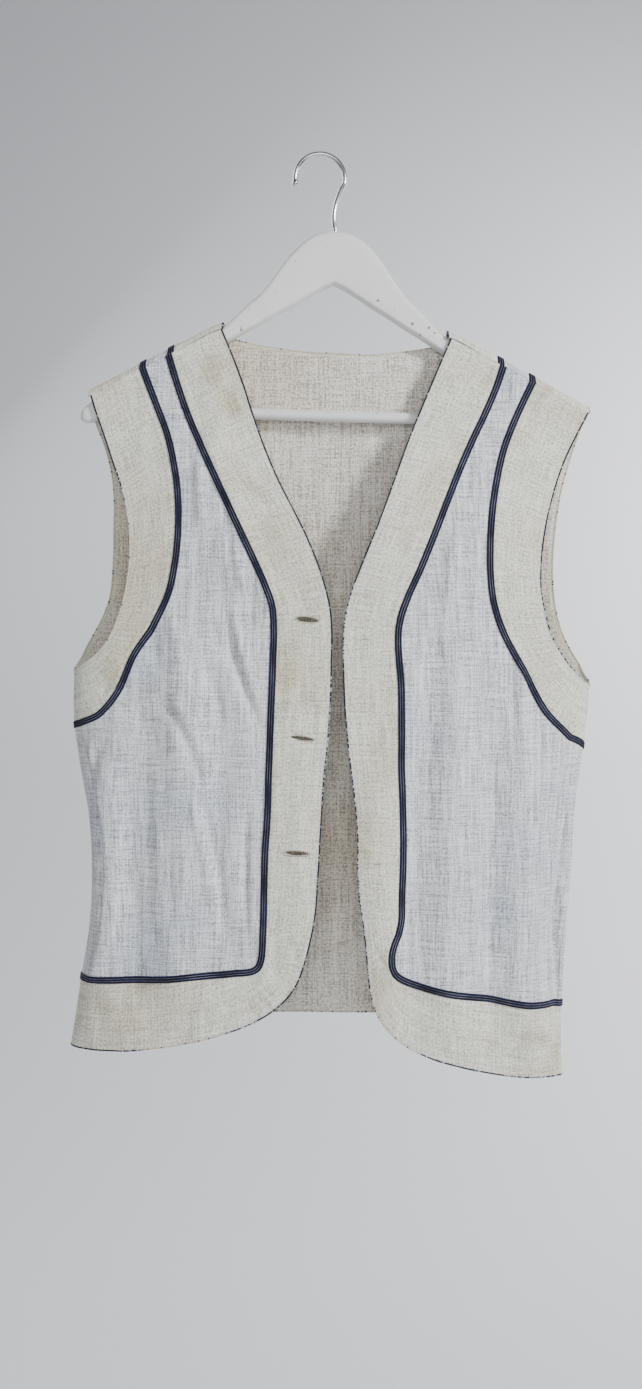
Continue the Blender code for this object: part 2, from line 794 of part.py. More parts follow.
def make_back(lining_grids):
    """The back panel, its neck and hem bands, their braids and edging, and the lining inside."""
    neck_edge, neck_seam = band_lines(-1, BACK_NECK, np.linspace(0, len(BACK_NECK) - 1, NECK_STATIONS))
    neck_edge = over_both_shoulders(neck_edge, BACK_NECK[0][0], BACK_NECK[-1][0])
    neck_seam = over_both_shoulders(neck_seam, BACK_NECK[0][2], BACK_NECK[-1][2])
    hem_edge, hem_seam = hem_lines()
    neck_band = band_grid(neck_edge, neck_seam, 1)
    hem_band = band_grid(hem_edge, hem_seam, -1)
    cloth_wall("back_neck_band", [neck_band], "linen_band")
    cloth_wall("back_hem_band", [hem_band], "linen_band")
    braid("braid_back_neck", neck_seam)
    braid("braid_back_hem", hem_seam)
    edging("edging_back_neck", neck_edge, 1)
    edging("edging_back_hem", hem_edge, -1)

    _, left_seam = back_armhole_lines(LEFT_BACK_ARMHOLE)
    _, right_seam = back_armhole_lines(RIGHT_BACK_ARMHOLE)
    braid("braid_back_armhole_right", left_seam)
    braid("braid_back_armhole_left", right_seam)
    seams = (neck_seam, left_seam, right_seam, hem_seam)
    cloth_wall("back_panel", back_halves(*seams, SEAM_GAP / 2), "linen_panel")

    lining_grids = lining_grids + back_halves(*seams, 0.0)
    lining_grids.append(lining_grid(slid(neck_edge, LINING_INSET), neck_band, neck_seam))
    lining_grids.append(lining_grid(slid(hem_edge, -LINING_INSET), hem_band, hem_seam))
    top = -CLOTH - LINING_GAP
    wall("back_lining", lining_grids, top, top - LINING, "linen_lining")


def back_halves(neck, left, right, hem, inset):
    """Two grids that meet down the middle of the back, inside the four seams round it."""
    middle = len(neck) // 2
    centre = len(hem) // 2
    neck_in = slid(neck, inset)
    hem_in = slid(hem, -inset)
    rest = len(left) + SIDE_STATIONS - middle - 1
    heights = side_heights(neck_in[middle, 1], hem_in[centre, 1], rest, 0.0)
    turns = np.linspace(neck_in[middle, 0], hem_in[centre, 0], rest + 1)[1:]
    spine = np.stack([turns, heights], axis=1)
    hem_braid = slid(hem, -BRAID_WIDTH / 2)
    neck_braid = slid(neck, BRAID_WIDTH / 2)
    halves = []
    for hand, line in ((-1, left), (1, right)):
        end = hem_in[0] if hand < 0 else hem_in[-1]
        heights = side_heights(line[-1, 1], end[1], SIDE_STATIONS)
        turns = np.linspace(line[-1, 0], end[0], SIDE_STATIONS + 1)[1:]
        outer = np.vstack([slid(line, hand * inset), np.stack([turns, heights], axis=1)])
        outer_braid = braid_column(slid(line, hand * BRAID_WIDTH / 2))
        neck_half = slice(0, middle + 1) if hand < 0 else slice(None, middle - 1, -1)
        inner = np.vstack([neck_in[neck_half], spine])
        inner_braid = neck_braid[neck_half][:-1]
        hem_half = slice(0, centre + 1) if hand < 0 else slice(centre, None)
        lines = (outer, inner) if hand < 0 else (inner, outer)
        braids = (outer_braid, inner_braid) if hand < 0 else (inner_braid, outer_braid)
        halves.append(filled(*lines, hem_in[hem_half], *braids, hem_braid[hem_half]))
    return halves


def over_both_shoulders(line, first_x, last_x):
    line = over_shoulder(line, first_x)
    return over_shoulder(line[::-1], last_x)[::-1]


def cut(thing, name, make_mesh, parent=None):
    """A hidden cutter, taken out of a piece by a Boolean."""
    shape = bmesh.new()
    make_mesh(shape)
    mesh = bpy.data.meshes.new(name)
    shape.to_mesh(mesh)
    shape.free()
    cutter = bpy.data.objects.new(name, mesh)
    bpy.context.scene.collection.objects.link(cutter)
    cutter.parent = parent
    cutter.hide_render = True
    cutter.display_type = "WIRE"
    modifier = thing.modifiers.new(name, "BOOLEAN")
    modifier.operation = "DIFFERENCE"
    modifier.object = cutter
    return cutter


def cut_buttonholes():
    band = bpy.data.objects["front_band_right"]
    size = (BUTTONHOLE_LENGTH * MM, BUTTONHOLE_DEPTH * MM, BUTTONHOLE_WIDTH * MM)
    for number, (x, height, lean) in enumerate(BUTTONHOLES, 1):
        turn, _ = place(1, x, height)
        point = surface(np.array([turn]), np.array([height]))[0]
        cutter = cut(
            band,
            f"buttonhole_cutter_{number}",
            lambda shape: (
                bmesh.ops.create_cube(shape, size=1.0),
                bmesh.ops.scale(shape, vec=size, verts=shape.verts),
            ),
        )
        cutter.location = point * MM
        cutter.rotation_euler.y = math.radians(lean)


def rings_mesh(name, rings, finish):
    """One closed body through a row of rings with the same number of points."""
    count = len(rings[0])
    faces = [list(range(count)), [len(rings) * count - 1 - n for n in range(count)]]
    for ring in range(len(rings) - 1):
        for n in range(count):
            after = (n + 1) % count
            first, second = ring * count, (ring + 1) * count
            faces.append([first + n, first + after, second + after, second + n])
    return make_object(name, np.vstack(rings), faces, finish)


def hanger_ring(x, top, foot, half):
    """A section of the hanger's flat arm, round on top and eased below."""
    round_top = min(half, (top - foot) * TOP_ROUND_SHARE)
    round_foot = min(FOOT_ROUND, (top - foot) * FOOT_ROUND_SHARE)
    points = []
    for angle in np.linspace(0, math.pi, TOP_STEPS + 1):
        points.append((x, half * math.cos(angle), top - round_top * (1 - math.sin(angle))))
    for angle in np.linspace(0, math.pi, FOOT_STEPS + 1):
        points.append((x, -half * math.cos(angle), foot + round_foot * (1 - math.sin(angle))))
    return np.array(points)


def cylinder_cut(thing, name, radius, length, location, axis_turn, parent):
    cutter = cut(
        thing,
        name,
        lambda shape: bmesh.ops.create_cone(
            shape,
            cap_ends=True,
            segments=HOLE_SIDES,
            radius1=radius * MM,
            radius2=radius * MM,
            depth=length * MM,
        ),
        parent,
    )
    cutter.location = [part * MM for part in location]
    cutter.rotation_euler.y = axis_turn


def make_hanger():
    """The wooden body, its bar and the wire hook, leaning together about the hook's hanging point."""
    leaning = bpy.data.objects.new("hanger_lean", None)
    bpy.context.scene.collection.objects.link(leaning)
    leaning.rotation_euler.y = math.radians(HANGER_LEAN)

    right = [hanger_ring(HANGER_MIDDLE + out, *row) for out, *row in HANGER]
    left = [hanger_ring(HANGER_MIDDLE - out, *row) for out, *row in HANGER[:0:-1]]
    body = rings_mesh("hanger_body", left + right, "white_paint")
    body.parent = leaning
    hole = WIRE_RADIUS + SEAM_GAP
    top = HANGER[0][1]
    depth = STEM_DEPTH + SEAM_GAP
    cylinder_cut(body, "stem_cutter", hole, 2 * depth, (HANGER_MIDDLE, 0, top), 0.0, leaning)
    bar_length = 2 * (BAR_HALF_LENGTH + SEAM_GAP)
    cylinder_cut(
        body,
        "bar_cutter",
        BAR_RADIUS + SEAM_GAP,
        bar_length,
        (HANGER_MIDDLE, 0, BAR_HEIGHT),
        math.pi / 2,
        leaning,
    )

    bar_rings = []
    for end in (-1, 1):
        x = np.full(BAR_SIDES, HANGER_MIDDLE + end * BAR_HALF_LENGTH)
        turns = np.linspace(0, 2 * math.pi, BAR_SIDES, endpoint=False)
        y, z = BAR_RADIUS * np.cos(turns), BAR_HEIGHT + BAR_RADIUS * np.sin(turns)
        bar_rings.append(np.stack([x, y, z], axis=1))
    rings_mesh("hanger_bar", bar_rings, "white_paint").parent = leaning

    rings_mesh("hanger_hook", hook_rings(), "chrome_wire").parent = leaning


def hook_rings():
    """Rings of the wire: the ball, the round of the hook, the bend to the stem and the stem."""
    centre = np.array([HOOK_MIDDLE, 0.0, WIRE_RADIUS - HOOK_RADIUS])
    start = math.radians(HOOK_STARTS)
    turns = []
    sizes = []
    for step in range(BALL_STEPS - 1):
        angle = math.pi * (step + 0.5) / BALL_STEPS
        turns.append(start + BALL_RADIUS * math.cos(angle) / HOOK_RADIUS)
        sizes.append(BALL_RADIUS * math.sin(angle))
    first = start - BALL_TO_WIRE * BALL_RADIUS / HOOK_RADIUS
    turns.extend(np.linspace(first, math.radians(HOOK_LEAVES), HOOK_STEPS))
    path = [centre + HOOK_RADIUS * np.array([math.cos(turn), 0, math.sin(turn)]) for turn in turns]
    handles = np.array([(x, 0, height) for x, height in BEND])
    last = path[-1]
    for share in np.linspace(0, 1, BEND_STEPS + 1)[1:]:
        rest = 1 - share
        point = rest**3 * last + 3 * rest**2 * share * handles[0]
        path.append(point + 3 * rest * share**2 * handles[1] + share**3 * handles[2])
    path.append(np.array([HANGER_MIDDLE, 0, HANGER[0][1] - STEM_DEPTH]))
    path = np.array(path)
    sizes += [WIRE_RADIUS] * (len(path) - len(sizes))
    along = unit(np.gradient(path, axis=0))
    side = np.cross(along, [0.0, 1.0, 0.0])
    across = np.array([0.0, 1.0, 0.0])
    round_wire = np.linspace(0, 2 * math.pi, WIRE_SIDES, endpoint=False)[:, None]
    rings = []
    for point, out, size in zip(path, side, sizes):
        rings.append(point + size * (np.cos(round_wire) * out + np.sin(round_wire) * across))
    return rings


def main():
    clear_scene()
    make_hanger()
    make_front("right", -1, LEFT_FRONT_BAND, LEFT_CORNER, LEFT_LEVEL, LEFT_FRONT_ARMHOLE)
    make_front("left", 1, RIGHT_FRONT_BAND, RIGHT_CORNER, RIGHT_LEVEL, RIGHT_FRONT_ARMHOLE)
    right_lining = make_armhole("right", -1, LEFT_FRONT_ARMHOLE, LEFT_BACK_ARMHOLE)
    left_lining = make_armhole("left", 1, RIGHT_FRONT_ARMHOLE, RIGHT_BACK_ARMHOLE)
    make_back([right_lining, left_lining])
    cut_buttonholes()


main()
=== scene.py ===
"""The looks of a sleeveless linen folk vest on a white wooden coat hanger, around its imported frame.

Every cloth piece is a thin shell worked out from the tables and the surface that shape its solid, on a
finer grid, with creases, seams and puckers as relief. Tables are in millimetres, in the frame's axes.
"""

import math

import bmesh
import bpy
import numpy as np
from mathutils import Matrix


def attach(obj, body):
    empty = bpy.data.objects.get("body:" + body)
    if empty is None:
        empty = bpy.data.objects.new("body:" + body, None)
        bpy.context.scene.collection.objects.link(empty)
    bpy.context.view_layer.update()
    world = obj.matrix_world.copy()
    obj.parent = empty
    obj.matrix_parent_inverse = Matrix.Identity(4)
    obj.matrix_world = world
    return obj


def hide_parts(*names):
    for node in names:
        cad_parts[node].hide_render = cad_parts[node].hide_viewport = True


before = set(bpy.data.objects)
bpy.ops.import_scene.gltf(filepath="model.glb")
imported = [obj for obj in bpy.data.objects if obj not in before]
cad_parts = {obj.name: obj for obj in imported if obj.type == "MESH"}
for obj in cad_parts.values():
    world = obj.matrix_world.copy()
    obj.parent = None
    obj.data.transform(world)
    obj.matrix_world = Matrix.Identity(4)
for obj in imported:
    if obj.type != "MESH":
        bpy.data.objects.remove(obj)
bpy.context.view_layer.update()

MM = 0.001

# Walls and gaps
CLOTH = 1.2
LINING = 1.0
LINING_GAP = 0.6
SEAM_GAP = 0.3
BRAID_WIDTH = 7.0
EDGING_WIDTH = 2.4
# The lining starts this far in from the free edges
LINING_INSET = 5.0

# Places worked out along each line: down an armhole, down a front beside it and below it, along a
# front's hem, along the back's neck and half its hem, down a side seam, and over the arm
ARMHOLE_STATIONS = 16
UPPER_STATIONS = 13
LOWER_STATIONS = 11
HEM_STATIONS = 14
NECK_STATIONS = 9
BACK_HEM_STATIONS = 10
SIDE_STATIONS = 7
ARC_STEPS = 7
# The hem's corner as a place down a front's line
CORNER_STATION = UPPER_STATIONS + LOWER_STATIONS - 2
# Heights over the hem's seam of the last rows of places down a side seam
LAST_SIDE_ROWS = (30.0, 13.0)
# Steps taken to find a place at a wanted distance, and how near counts as the same
SLIDE_ROUNDS = 4
NEAR = 0.01

# Hanger, in its own upright frame, which leans with the hook as pivot
HANGER_LEAN = 1.8
HANGER_MIDDLE = 14.0
ARM_HALF = 6.5
BAR_RADIUS = 5.0
BAR_HEIGHT = -234.0
BAR_HALF_LENGTH = 205.0
WIRE_RADIUS = 1.9
HOOK_RADIUS = 22.4
HOOK_MIDDLE = -1.2
# Turns round the hook's middle where the wire starts behind its ball and where it bends to the stem
HOOK_STARTS = 192.0
HOOK_LEAVES = -12.0
BALL_RADIUS = 2.7
# The wire starts this many ball radii after the ball's middle
BALL_TO_WIRE = 1.3
# What pulls the bend's curve: x and height of each handle, and the stem's top
BEND = [(12.5, -40.0), (10.5, -56.0), (HANGER_MIDDLE, -65.0)]
STEM_DEPTH = 16.0
# Rounding of the arm's section, at most: shares of its height above and below, and millimetres below
TOP_ROUND_SHARE = 0.4545
FOOT_ROUND_SHARE = 0.4
FOOT_ROUND = 3.0
# Shares of the way down the arm's flat faces where they have a point
ARM_SHARES = (0.33, 0.67)

# The outer face of the cloth lies this far from the middle of the hanger's arm
SHOULDER_RADIUS = ARM_HALF + SEAM_GAP + LINING + LINING_GAP + CLOTH
HALF_ARC = 0.5 * math.pi * SHOULDER_RADIUS

# The shoulder line: level at the neck, then falling to each shoulder tip
NECK_MIDDLE = 12.0
NECK_HALF = 102.0
NECK_HEIGHT = -153.0
NECK_LEAN = 0.0395
LEFT_SLOPE = 0.5606
RIGHT_SLOPE = 0.512
NECK_SOFTNESS = 6.0

# Where front and back pieces meet: on the front, just under the shoulder line, and near each side
SHOULDER_SEAM = 1.6
SIDE_TURN = 88.0
SIDE_GAP_TURN = 0.25
# An x this far out in a table means the side seam
SIDE = 999.0

# Below the arms the two faces close into one ring between these heights
RING_STARTS = -310.0
RING_CLOSES = -440.0
FULL_DEPTH_DROP = 220.0
# Folds fade out this near the sides, as a share of the half width, and start below the shoulder
SIDE_FADE = 0.05
FOLD_DROP = 60.0
# Shares of a fold's length over which it rises and dies away
FOLD_RISES = 0.3
FOLD_FADES = 0.12

# Side outline: height, left side x, right side x
SIDES = np.array([
    (-830, -230, 216),
    (-800, -226, 215),
    (-768, -221, 215),
    (-735, -216, 217),
    (-690, -209, 220),
    (-640, -207, 224),
    (-590, -210, 227),
    (-545, -218, 233),
    (-505, -223, 238),
    (-460, -223, 242),
    (-140, -218, 246),
], float)

# Depth of the cloth in front of and behind the hanger: height, front, back
DEPTHS = np.array([
    (-840, 38, 31),
    (-650, 35, 29),
    (-500, 30, 26),
    (-400, 25, 22),
    (-300, 20, 16),
    (-150, 14, 10),
], float)

# Largest folds: face (1 front, -1 back), x at top, middle and foot, top, foot, half width, rise
FOLDS = [
    (1, -208, -190, -214, -505, -760, 14, 6.0),
    (1, -162, -156, -166, -440, -775, 15, -3.2),
    (1, -118, -124, -132, -380, -770, 16, 3.4),
    (1, -96, -90, -84, -420, -735, 13, -2.4),
    (1, -100, -84, -66, -215, -400, 20, 2.6),
    (1, -12, -20, -16, -470, -800, 17, 2.4),
    (1, 214, 208, 212, -520, -800, 8, -7.0),
    (1, 182, 178, 184, -490, -830, 13, 5.0),
    (1, 152, 146, 150, -440, -800, 13, -4.0),
    (1, 124, 112, 112, -400, -810, 15, 4.2),
    (1, 92, 88, 86, -430, -745, 12, -2.6),
    (1, 48, 50, 62, -520, -800, 16, 4.0),
    (1, 128, 104, 84, -225, -400, 22, -2.4),
    (-1, -168, -162, -172, -400, -860, 24, 3.0),
    (-1, -112, -106, -116, -330, -860, 26, -2.6),
    (-1, -50, -46, -44, -260, -860, 28, 3.2),
    (-1, 16, 20, 12, -290, -860, 26, -2.4),
    (-1, 78, 72, 80, -270, -860, 27, 3.0),
    (-1, 130, 138, 132, -360, -860, 24, -2.8),
    (-1, 180, 172, 178, -430, -860, 22, 2.8),
]

# Front band of the image's left front: free edge x and height, seam x and height, down to the side
LEFT_FRONT_BAND = [
    (-89, None, -137, None),
    (-73, -198, -123, -226),
    (-61, -235, -108, -262),
    (-43, -284, -90, -302),
    (-21, -329, -71, -343),
    (-4, -367, -52, -384),
    (8, -410, -43, -412),
    (9, -450, -43, -450),
    (7, -510, -45, -510),
    (1, -577, -47, -577),
    (-2, -630, -50, -630),
    (-5, -674, -51, -680),
    (-12, -710, -52, -707),
    (-22, -738, -54, -719),
    (-40, -759, -60, -725.5),
    (-68, -775, -75, -727.5),
    (-110, -788, -112, -731),
    (-154, -796, -155, -735),
    (-192, -799, -190, -736.5),
    (-SIDE, -799, -SIDE, -737),
]
# The row at the hem's corner, and the part of a row that lies level with the armhole's foot
LEFT_CORNER = 13
LEFT_LEVEL = 7.8

RIGHT_FRONT_BAND = [
    (114.5, None, 162, None),
    (102, -196, 152, -220),
    (84, -239, 136, -254),
    (69, -278, 119, -293),
    (54, -321, 103, -334),
    (36, -366, 86, -376),
    (22, -405, 71, -411),
    (18, -440, 67, -440),
    (19, -490, 70, -492),
    (24, -545, 69.5, -545),
    (30, -600, 71, -600),
    (30.5, -650, 70, -655),
    (35, -684, 69, -685),
    (38, -712, 62.5, -704),
    (41, -742, 60.5, -716),
    (50, -768, 64, -728),
    (72, -791, 78, -736.5),
    (105, -806, 105, -744),
    (148, -817, 148, -752),
    (185, -823, 185, -758),
    (SIDE, -826, SIDE, -761),
]
RIGHT_CORNER = 14
RIGHT_LEVEL = 8.5

# Armhole bands: free edge x and height, seam x and height, from the shoulder to the side seam
LEFT_FRONT_ARMHOLE = [
    (-207, None, -160, None),
    (-196, -251, -147, -228),
    (-186, -281, -137, -255),
    (-177, -307, -131, -281),
    (-172, -335, -127, -312),
    (-171, -360, -127, -343),
    (-174, -388, -131, -380),
    (-182, -418, -143, -415),
    (-192, -438, -163, -443),
    (-203, -450, -178, -478),
    (-213, -457, -196, -501),
    (-220, -461, -213, -509),
    (-SIDE, -462, -SIDE, -512),
]

RIGHT_FRONT_ARMHOLE = [
    (238, None, 188, None),
    (228, -253, 177, -229),
    (217, -276, 167, -252),
    (209, -298, 159, -276),
    (202, -322, 153, -305),
    (197, -347, 149, -335),
    (194, -377, 148, -368),
    (196, -400, 150, -398),
    (202, -427, 159, -428),
    (213, -448, 174, -456),
    (224, -462, 195, -496),
    (234, -472, 218, -520),
    (SIDE, -476, SIDE, -531),
]

LEFT_BACK_ARMHOLE = [
    (-209, None, -160, None),
    (-206, -238, -157, -218),
    (-197, -262, -149, -245),
    (-191, -290, -144, -275),
    (-190, -320, -142, -312),
    (-191, -352, -143, -350),
    (-192, -384, -146, -390),
    (-197, -406, -154, -425),
    (-205, -424, -168, -458),
    (-213, -439, -184, -486),
    (-218, -450, -203, -504),
    (-222.2, -458, -216.5, -510.5),
    (-SIDE, -462, -SIDE, -512),
]

RIGHT_BACK_ARMHOLE = [
    (240, None, 188, None),
    (236, -242, 185, -226),
    (227, -268, 178, -255),
    (217, -305, 170, -290),
    (213, -340, 166, -330),
    (211, -372, 165, -372),
    (213, -402, 168, -415),
    (218, -424, 178, -448),
    (225, -441, 190, -476),
    (233, -455, 205, -501),
    (238, -466, 222, -519),
    (241.4, -473, 233.5, -528),
    (SIDE, -476, SIDE, -531),
]

# Back neck band: free edge x and height, seam x and height, from shoulder to shoulder
BACK_NECK = [
    (-88, None, -135, None),
    (-66, -165, -108, -203),
    (-30, -171.5, -58, -221),
    (12, -174.5, 12, -226.5),
    (54, -175.5, 80, -223),
    (92, -170.5, 130, -207),
    (112, None, 160, None),
]

# Back hem band: free edge x and height, seam x and height, from side to side
BACK_HEM = [
    (-SIDE, -799, -SIDE, -737),
    (-222, -798.4, -212.5, -736.4),
    (-186, -795, -186, -732),
    (-140, -788, -140, -725),
    (-94, -782, -94, -719),
    (-42, -779, -42, -716),
    (12, -778, 12, -715),
    (64, -780, 64, -717),
    (110, -788, 110, -725),
    (150, -800, 150, -737),
    (188, -813, 188, -749),
    (211, -824.4, 210.5, -759.6),
    (SIDE, -826, SIDE, -761),
]

# Buttonholes in the band of the image's left front: x of the middle, height, lean in degrees
BUTTONHOLES = [(-13.0, -419.0, 6.5), (-17.5, -523.0, 8.0), (-22.0, -623.0, 3.5)]

# Steps of the round parts: the arm's length between two rows of its table, its top and foot, the bar's
# length and round, the wire's round, its ball, the hook's round and the bend to the stem
ARM_STEPS = 6
TOP_STEPS = 16
FOOT_STEPS = 12
BAR_STEPS = 80
BAR_SIDES = 40
WIRE_SIDES = 20
BALL_STEPS = 14
HOOK_STEPS = 60
BEND_STEPS = 24
# Turns over the ball of its first and last rings, and from where on it is no thinner than the wire
BALL_TURNS = (0.06, 0.8 * math.pi)
BALL_NARROWS = 2.0

# Hanger body: distance from its middle, top, foot, half thickness
HANGER = [
    (0.0, -68.0, -116.5, 6.5),
    (9.0, -68.8, -120.2, 6.5),
    (18.0, -71.8, -125.5, 6.5),
    (27.0, -77.6, -131.0, 6.5),
    (36.0, -86.2, -136.6, 6.5),
    (45.0, -97.4, -141.8, 6.5),
    (54.0, -110.6, -147.2, 6.5),
    (65.0, -125.0, -154.0, 6.5),
    (79.0, -138.2, -162.0, 6.5),
    (91.0, -150.4, -169.4, 6.5),
    (98.0, -157.0, -173.6, 6.5),
    (106.0, -161.6, -178.4, 6.5),
    (150.0, -186.0, -204.5, 6.5),
    (175.0, -201.0, -220.5, 6.5),
    (198.0, -215.4, -237.0, 6.5),
    (211.0, -224.4, -245.5, 6.3),
    (219.0, -231.0, -247.0, 5.6),
    (223.0, -235.4, -244.5, 3.6),
]

# Fine shells: how thick they are, and how many times finer than the solids' their grids are
SHELL = 0.8
ROWS_FINER = 7
HEM_FINER = 6
BACK_FINER = 5
LINING_FINER = 4
EDGE_FINER = 12
BAND_COLUMNS = 22
# How much closer a band's columns lie near its seam
BAND_CROWDS = 1.5
# The braid: shown width, columns, ribs, and the rise of its foot, grooves and ribs and drop of its edges
BRAID_SHOWN = 6.2
BRAID_COLUMNS = 13
RIBS = 3
BRAID_FOOT = 0.25
GROOVE_RISE = 0.6
RIB_RISE = 0.7
BRAID_EDGE_DROP = 0.15
# The seam allowance under a band: how far from the seam its edge shows, half width and rise
ALLOWANCE_AT = 6.2
ALLOWANCE_HALF = 1.3
ALLOWANCE_RISE = 0.55
# The overcast edge: its middle's distance from the free edge, which is also its half width, its half
# height, distance between rings, sides, and strength and pitch of its twist
EDGE_SHOWN = 0.9
EDGE_HALF_HEIGHT = 0.85
EDGE_STEP = 0.5
EDGE_SIDES = 8
EDGE_TWIST = (0.12, 1.9)
# Its half width varies about this share of that, this much each way, in lumps of this length
EDGE_UNEVEN = (0.9, 0.12, 14.0)

# Steps for the directions of the surface: degrees or millimetres to each side
PROBE = 0.05
# Shares of a crease's length over which it rises and dies away, and how much all creases are raised
CREASE_RISES = 0.25
CREASE_FADES = 0.35
CREASE_STRENGTH = 1.15
# Unevenness of the cloth, as ripples drawn out downward and as round bumps: size, rise, seed
RIPPLES = [(22.0, 0.9, 1), (11.0, 0.75, 4), (5.5, 0.3, 6)]
BUMPS = [(19.0, 0.5, 2), (7.0, 0.2, 3)]
RIPPLES_DRAWN_OUT = (1.0, 0.24, 1.0)
# Share of the ripples on the front's half at the image's right and the back's other half, and the x
# over which it grows to a whole on the rest
LEAST_RIPPLES = 0.62
RIPPLES_END = 20.0
# How far apart the noise of the front and the back is read
FACES_APART = 40.0
# The relief fades out this far below the shoulder and this near the sides, as a share of the half width
CALM_BELOW = (4.0, 50.0)
CALM_SIDE = 0.02
# Share of its depth below the fullest that cloth near a side adds to its length round the vest
ROUND_SHARE = 0.8

# Soft troughs and ridges of the cloth: face (1 front, -1 back), start x and height, end x and height,
# bow to the right of a crease that runs down, half width, rise
CREASES = [
    (1, -86, -408, -50, -522, -5, 4.0, -3.5),
    (1, -79, -404, -42, -520, -6, 4.0, 1.8),
    (1, -98, -415, -70, -468, -4, 5.5, -2.0),
    (1, -137, -405, -124, -470, 3, 4.5, 2.2),
    (1, -150, -415, -141, -468, -3, 4.5, -1.9),
    (1, -108, -448, -88, -528, 5, 4.0, -2.6),
    (1, -146, -480, -106, -572, 6, 4.5, -3.0),
    (1, -140, -478, -98, -566, 7, 4.0, 1.6),
    (1, -110, -565, -84, -712, 5, 5.0, -3.2),
    (1, -120, -560, -93, -705, 6, 4.5, 2.6),
    (1, -64, -572, -65, -712, -3, 4.0, -2.7),
    (1, -134, -590, -128, -702, -3, 5.0, -1.8),
    (1, -150, -530, -147, -640, 3, 4.5, 1.5),
    (1, -168, -560, -160, -715, -3, 5.0, -1.6),
    (1, -182, -600, -184, -720, -2, 4.5, 1.6),
    (1, -92, -300, -80, -380, 3, 5.0, -1.9),
    (1, -108, -262, -100, -350, -3, 6.0, 1.8),
    (1, -76, -352, -66, -400, -2, 3.5, 1.4),
    (1, -196, -520, -206, -610, -3, 4.0, -2.4),
    (1, 169, -448, 170, -520, -2, 3.5, -2.3),
    (1, 178, -452, 178, -540, -2, 4.5, 1.9),
    (1, 90, -606, 73, -722, -3, 2.6, -1.0),
    (1, 120, -330, 110, -470, -5, 6.0, 1.6),
    (1, 100, -420, 98, -560, 4, 7.0, -1.4),
    (1, 146, -560, 132, -700, -4, 6.0, 1.8),
    (1, 152, -640, 148, -745, -2, 4.5, -1.6),
    (1, 180, -744, 207, -752, 1, 2.2, 0.9),
    (1, 136, -262, 126, -330, -3, 5.0, -1.5),
    (1, 196, -560, 200, -742, 3, 4.0, -2.2),
    (1, 208, -540, 214, -690, -3, 3.5, 2.0),
    (1, -33, -398, -12, -404, -1, 2.0, -0.7),
    (1, -36, -444, -22, -452, -1, 2.2, 0.7),
    (1, -38, -575, -20, -590, 1, 2.5, -0.8),
    (1, -39, -702, -50, -728, -1, 1.2, -1.1),
    (1, -61, -740, -40, -766, 5, 1.1, 0.9),
    (1, -57, -757, -58, -774, 0, 1.4, -0.7),
    (1, -30, -690, -20, -724, -1, 2.4, -0.8),
    (1, -104, -752, -78, -764, -1, 3.0, 0.7),
    (1, -160, -760, -120, -756, -1, 3.0, -0.6),
    (1, 24, -434, 41, -434, -1, 1.8, -0.7),
    (1, 41, -436, 38, -490, -2, 2.5, 0.6),
    (1, 30, -533, 62, -538, -1, 1.8, -0.8),
    (1, 34, -628, 66, -632, 1, 1.6, -0.9),
    (1, 48, -634, 62, -610, -1, 2.2, 0.8),
    (1, 48, -634, 34, -606, 1, 2.2, 0.7),
    (1, 50, -640, 64, -664, -1, 2.4, 0.7),
    (1, 44, -700, 58, -724, -2, 1.8, -1.0),
    (1, 52, -742, 66, -728, -1, 1.8, 0.9),
    (1, 60, -752, 72, -776, 2, 2.2, -0.8),
    (1, 116, -762, 138, -776, -1, 3.0, -0.7),
    (1, 176, -790, 208, -800, 1, 3.0, 0.7),
    (1, -196, -262, -166, -250, -2, 3.0, -0.9),
    (1, -176, -428, -152, -404, 1, 3.2, 0.8),
    (1, -188, -470, -196, -492, -1, 2.6, -0.9),
    (1, 198, -284, 178, -268, -1, 3.0, 0.8),
    (1, 176, -400, 168, -440, -2, 3.2, -0.9),
    (1, 214, -476, 206, -506, 1, 2.8, 0.9),
    (-1, -60, -270, -92, -410, 6, 7.0, -2.2),
    (-1, 84, -262, 112, -398, -6, 7.0, 2.0),
    (-1, 20, -300, 32, -470, 4, 8.0, -1.8),
    (-1, -120, -420, -100, -560, -5, 5.5, 2.3),
    (-1, -150, -500, -158, -680, 4, 5.0, -2.4),
    (-1, 150, -460, 128, -600, 5, 5.5, -2.6),
    (-1, 178, -560, 170, -720, -4, 5.0, 2.2),
    (-1, -40, -480, -28, -660, -6, 6.5, 1.9),
    (-1, 62, -500, 54, -690, 5, 6.0, -2.2),
    (-1, 10, -560, 16, -700, -3, 5.0, 1.6),
    (-1, -186, -560, -192, -715, -3, 4.5, -2.0),
    (-1, -84, -600, -78, -712, 3, 4.5, -1.8),
    (-1, 104, -620, 100, -720, -2, 4.5, 1.8),
    (-1, -20, -732, 24, -748, -2, 3.0, -0.8),
    (-1, 120, -748, 150, -764, -1, 3.0, 0.8),
    (-1, -150, -744, -120, -762, 1, 3.0, 0.7),
    (-1, -180, -330, -160, -372, -2, 3.2, -0.8),
    (-1, 196, -350, 178, -402, 2, 3.4, 1.2),
    (1, -226, -498, -213, -752, 24, 2.2, -3.0),
    (1, -218, -520, -206, -730, 20, 3.5, 1.8),
    (1, 232, -540, 214, -770, -14, 2.2, -2.4),
]

# Slits of the buttonholes: half length, half width at the middle of each, how pointed their ends are,
# corners of the cut, and how far the cutter reaches to each side of the cloth
SLIT_HALF = 10.0
SLIT_OPEN = (2.2, 1.6, 1.9)
SLIT_POINTED = 1.1
SLIT_CORNERS = 24
SLIT_REACH = 5.0
# Their worked edge: distance from the slit, height over the cloth and rings
STITCH_MARGIN = 0.55
STITCH_LIFT = 0.1
STITCH_RINGS = 160
